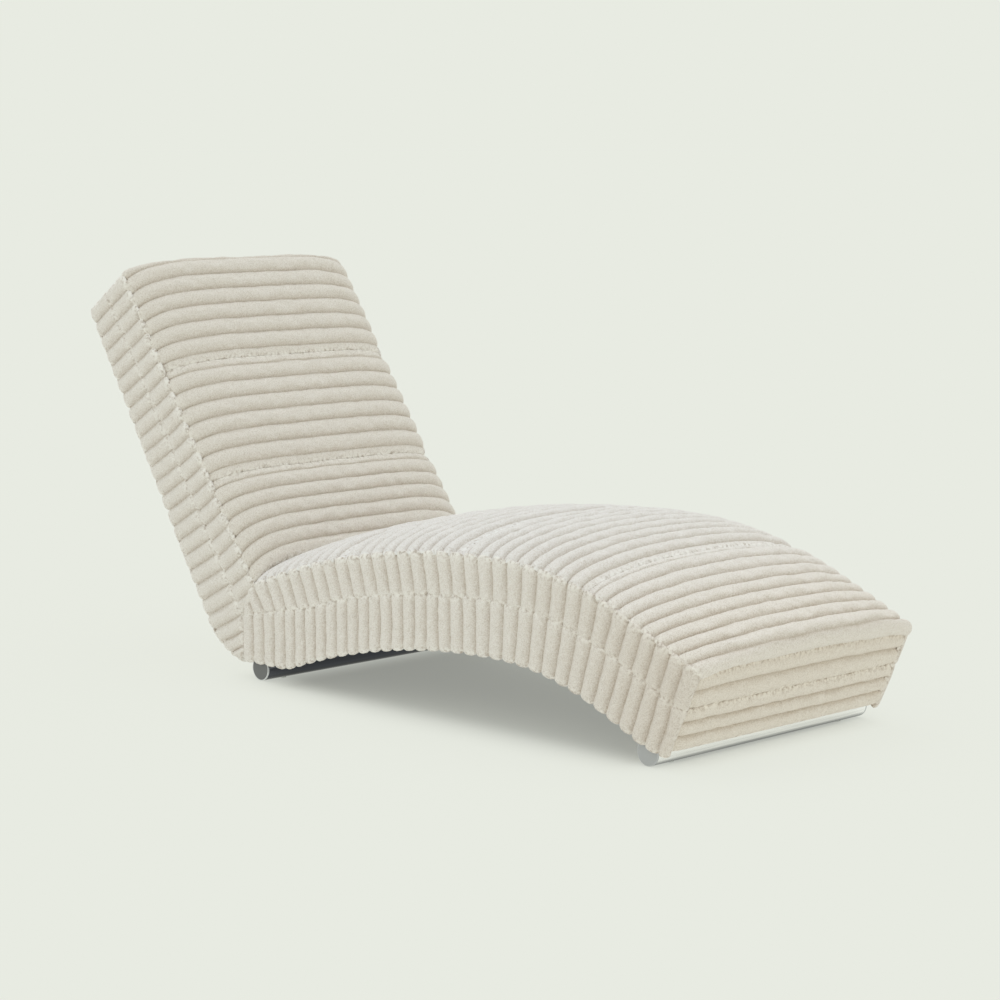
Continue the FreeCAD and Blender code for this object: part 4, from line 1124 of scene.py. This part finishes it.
def swell_cloth(pieces, frames=14, cap=3.2):
    """Cloth under pressure, held at every groove and seam, and moved no further than a cap."""
    before = {}
    for piece in pieces:
        mesh = piece.data
        before[piece] = coordinates(mesh)
        held = [int(k) for k in np.nonzero(read(mesh.attributes["held"].data, "value") > 0.5)[0]]
        piece.vertex_groups.new(name="held").add(held, 1.0, "REPLACE")
        modifier = piece.modifiers.new("Cloth", "CLOTH")
        settings = modifier.settings
        settings.quality = 4
        settings.mass = 0.25
        settings.tension_stiffness = settings.compression_stiffness = 18
        settings.shear_stiffness = 6
        settings.bending_stiffness = 0.4
        settings.use_pressure = True
        settings.uniform_pressure_force = 4.0
        settings.shrink_min = settings.shrink_max = -0.012
        settings.effector_weights.gravity = 0
        settings.vertex_group_mass = "held"
        modifier.point_cache.frame_start, modifier.point_cache.frame_end = 1, frames
    for step in range(1, frames + 1):
        bpy.context.scene.frame_set(step)
    depsgraph = bpy.context.evaluated_depsgraph_get()
    for piece in pieces:
        after = coordinates(piece.evaluated_get(depsgraph).data)
        move = after - before[piece]
        size = np.linalg.norm(move, axis=1, keepdims=True)
        move *= np.minimum(1, cap * MM / np.maximum(size, TINY))
        piece["swelled"] = float(size.max() / MM)
        piece.modifiers.remove(piece.modifiers["Cloth"])
        piece.vertex_groups.clear()
        piece.data.vertices.foreach_set("co", (before[piece] + move).reshape(-1))
        piece.data.update()
    bpy.context.scene.frame_set(1)


swell_cloth(list(panels.values()))
print("largest swell, mm:", round(max(p["swelled"] for p in panels.values()), 1))

# %% [markdown]
# ## Fine relief
#
# One subdivision rounds each rib. Then a fine noise roughens the surface by a fraction of a
# millimetre where the pile stands open, so a rib's outline isn't as smooth as plastic.

# %% Subdivision and the uneven lie of the pile
# The height, the size and the shift of each noise
ROUGH = ((0.3, 7.0, 0.0), (0.4, 3.6, 5.0))
OPEN_FROM = 3
for node, piece in panels.items():
    modifier = piece.modifiers.new("round", "SUBSURF")
    modifier.levels = modifier.render_levels = 1
    depsgraph = bpy.context.evaluated_depsgraph_get()
    mesh = bpy.data.meshes.new_from_object(piece.evaluated_get(depsgraph), depsgraph=depsgraph)
    piece.modifiers.clear()
    old, piece.data = piece.data, mesh
    bpy.data.meshes.remove(old)
    mesh.name = piece.name
    points, normals = coordinates(mesh), read(mesh.vertex_normals, "vector", 3)
    pile_open_and_lit = read(mesh.attributes["pile_open_and_lit"].data, "value")
    rough = sum(rise * noise(points / MM, size, shift) for rise, size, shift in ROUGH)
    lift = (rough * np.minimum(1, pile_open_and_lit * OPEN_FROM) * MM)[:, None]
    mesh.vertices.foreach_set("co", (points + normals * lift).reshape(-1))
    mesh.update()
    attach(piece, "root")
    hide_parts(node)
print("triangles:", sum(2 * len(p.data.polygons) for p in panels.values()))

# %% [markdown]
# ## The lining under the arch
#
# One dark cloth is stapled under the frame and closes it from below, level behind and then along
# the arch of the seat. It is nearly flat, so a grid with a low sag serves, and a cloth simulation
# would add nothing that is seen. A modifier gives the sheet its thickness.

# %% The lining as a thin sheet
LINING_PLACE = -169.0
ARCH_POINTS, LINING_ROWS, LINING_COLUMNS = 121, 90, 41
SAG, SAG_SIZE, SAG_SEED, SAG_LIMIT, TIGHT_EDGE = 1.2, 90.0, 7.0, 0.6, 30.0
LEVEL_RISE, REAR_INSET = 1.0, 0.5
corners = coordinates(frame["nodes"]["underside_lining"].data) / MM
half, level = corners[:, 1].max(), corners[:, 2].min() + LEVEL_RISE
rear_end, front_end = corners[:, 0].min(), corners[:, 0].max()
far_end = solve_one(
    lambda d: seat_run.at(d, LINING_PLACE)[..., 0] - front_end, seat_run.length / 2, seat_run.length
)
arch = seat_run.at(np.linspace(0, far_end, ARCH_POINTS), LINING_PLACE)
arch = arch[(arch[:, 1] > level) & (arch[:, 0] > rear_end)]
line = even_points(np.concatenate([[(rear_end + REAR_INSET, level)], arch]), LINING_ROWS)
widths = np.linspace(-half, half, LINING_COLUMNS)
tight = drawn_in(half - np.abs(widths), TIGHT_EDGE)
verts, faces = [], []
for x, z in line:
    sag = SAG * noise(np.stack(np.broadcast_arrays(x, widths, SAG_SEED), axis=-1), SAG_SIZE) * tight
    verts += [(x * MM, w * MM, (z + min(s, SAG_LIMIT)) * MM) for w, s in zip(widths, sag)]
for i in range(LINING_ROWS):
    for a in range(LINING_COLUMNS * i, LINING_COLUMNS * (i + 1) - 1):
        faces.append((a, a + 1, a + LINING_COLUMNS + 1, a + LINING_COLUMNS))
mesh = bpy.data.meshes.new("underside_lining_cloth")
mesh.from_pydata(verts, [], faces)
mesh.polygons.foreach_set("use_smooth", [True] * len(mesh.polygons))
lining = placed("underside_lining_cloth", mesh, [finishes["lining"]])
thick = lining.modifiers.new("thick", "SOLIDIFY")
thick.thickness, thick.offset = 0.8 * MM, 0.0
run_up = float(np.sum(strides(line)))
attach(lining, "root")
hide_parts("underside_lining")
2 * half * MM
print("lining sheet, mm:", round(2 * half), "by", round(run_up))

# %% [markdown]
# ## Floor, light and camera
#
# The lounger stands in front of one pale, even colour. A floor and a sky that give back the same
# light meet without a line. The sky does most of the lighting, and one wide, soft sun adds to it.


# %% The pale colour and the sky
def linear(*colour):
    """Display values from 0 to 255 as scene light."""
    return tuple((c / 255 / 12.92 if c < 10.3 else ((c / 255 + 0.055) / 1.055) ** 2.4) for c in colour)


PALE = linear(232, 235, 226)
OVERHEAD = (0.0, 0.02, 0.1)
scene = bpy.context.scene
scene.view_settings.view_transform = "Standard"
scene.view_settings.look = "None"
scene.view_settings.exposure = 0.0
scene.view_settings.gamma = 1.0

# The sky is pale at the horizon and a little bluer overhead
world = bpy.data.worlds.new("sky")
scene.world = world
world.use_nodes = True
links, nodes = world.node_tree.links, world.node_tree.nodes
direction = nodes.new("ShaderNodeTexCoord").outputs["Generated"]
split = nodes.new("ShaderNodeSeparateXYZ")
links.new(direction, split.inputs[0])
height = Signal(world.node_tree, split.outputs[2]).clamp()
mix = nodes.new("ShaderNodeMix")
mix.data_type = "RGBA"
links.new((height * height).socket, mix.inputs[0])
mix.inputs[MIX_LOW].default_value = (*PALE, 1)
mix.inputs[MIX_HIGH].default_value = (*(p + o for p, o in zip(PALE, OVERHEAD)), 1)
links.new(mix.outputs[MIX_OUT], nodes["Background"].inputs[0])
nodes["Background"].inputs[1].default_value = 1.0
print("pale colour, as scene light:", [round(c, 3) for c in PALE])

# %% [markdown]
# ## The floor
#
# The floor gives back a share of the light that falls on it, and its own glow makes up the rest
# of the pale colour. Only that share shows a shadow. It is small away from the lounger and
# larger beneath it, so the shadow stays close to the lounger.

# %% The floor
SUN_ENERGY, SUN_RISE, SUN_COLOUR = 0.5, 70, (1.0, 0.99, 1.02)
SHARES = (0.12, 0.66)
FLOOR_REACH = 400.0
REAR_EDGE, REAR_FADE, FRONT_EDGE, FRONT_FADE, SIDE_EDGE, SIDE_FADE = -0.46, 0.22, 0.86, 0.16, 0.42, 0.2
sunlight = SUN_ENERGY * math.sin(math.radians(SUN_RISE)) / math.pi
falls = [p + o / 2 + sunlight * c for p, o, c in zip(PALE, OVERHEAD, SUN_COLOUR)]
floor = Finish("floor", Roughness=1.0, Specular_IOR_Level=0.0, Emission_Strength=1.0)
x, y, _ = floor.axes()
near = ((x - REAR_EDGE) / REAR_FADE).clamp() * ((FRONT_EDGE - x) / FRONT_FADE).clamp()
near = near * ((SIDE_EDGE - y.maths("ABSOLUTE")) / SIDE_FADE).clamp()
near = near * near * (3 - 2 * near)
gives = [tuple(share * p / f for p, f in zip(PALE, falls)) for share in SHARES]
glows = [tuple((1 - share) * p for p in PALE) for share in SHARES]
floor.set(Base_Color=floor.blend(gives[0], gives[1], near))
floor.set(Emission_Color=floor.blend(glows[0], glows[1], near))
mesh = bpy.data.meshes.new("floor")
corners = [(FLOOR_REACH * a, FLOOR_REACH * b, 0) for a, b in ((-1, -1), (1, -1), (1, 1), (-1, 1))]
mesh.from_pydata(corners, [], [(0, 1, 2, 3)])
ground = placed("floor", mesh, [floor.material])
print("light on the floor:", [round(f, 3) for f in falls])

# %% The sun
SUN_ROUND, SUN_SPREAD = 240, 60
light = bpy.data.lights.new("key", "SUN")
light.energy, light.angle, light.color = SUN_ENERGY, math.radians(SUN_SPREAD), SUN_COLOUR
lamp = bpy.data.objects.new("key", light)
azimuth, rise = math.radians(SUN_ROUND), math.radians(SUN_RISE)
away = Vector((math.sin(azimuth) * math.cos(rise), -math.cos(azimuth) * math.cos(rise), math.sin(rise)))
lamp.rotation_euler = away.to_track_quat("Z", "Y").to_euler()
scene.collection.objects.link(lamp)
print("the sun stands", SUN_ROUND, "degrees round and", SUN_RISE, "degrees up")

# %% [markdown]
# ## The camera
#
# A long lens from the foot end's right, a little above the lounger. Its place and its turn were
# fitted to the ends of the foot tubes and to the outline of the side.

# %% The camera
SENSOR, LENS = 36.0, 95.77
CAMERA_PLACE = (3.8449, -3.7358, 1.0957)
CAMERA_TURN, CAMERA_TILT = 45.27, 7.62
camera_data = bpy.data.cameras.new("camera")
camera_data.sensor_width = SENSOR
camera_data.lens = LENS
camera = bpy.data.objects.new("camera", camera_data)
scene.collection.objects.link(camera)
scene.camera = camera
turn, tilt = math.radians(CAMERA_TURN), math.radians(CAMERA_TILT)
look = Vector((-math.sin(turn) * math.cos(tilt), math.cos(turn) * math.cos(tilt), -math.sin(tilt)))
camera.location = CAMERA_PLACE
camera.rotation_euler = look.to_track_quat("-Z", "Y").to_euler()
print("camera:", round(camera.location.length, 2), "m from the middle")
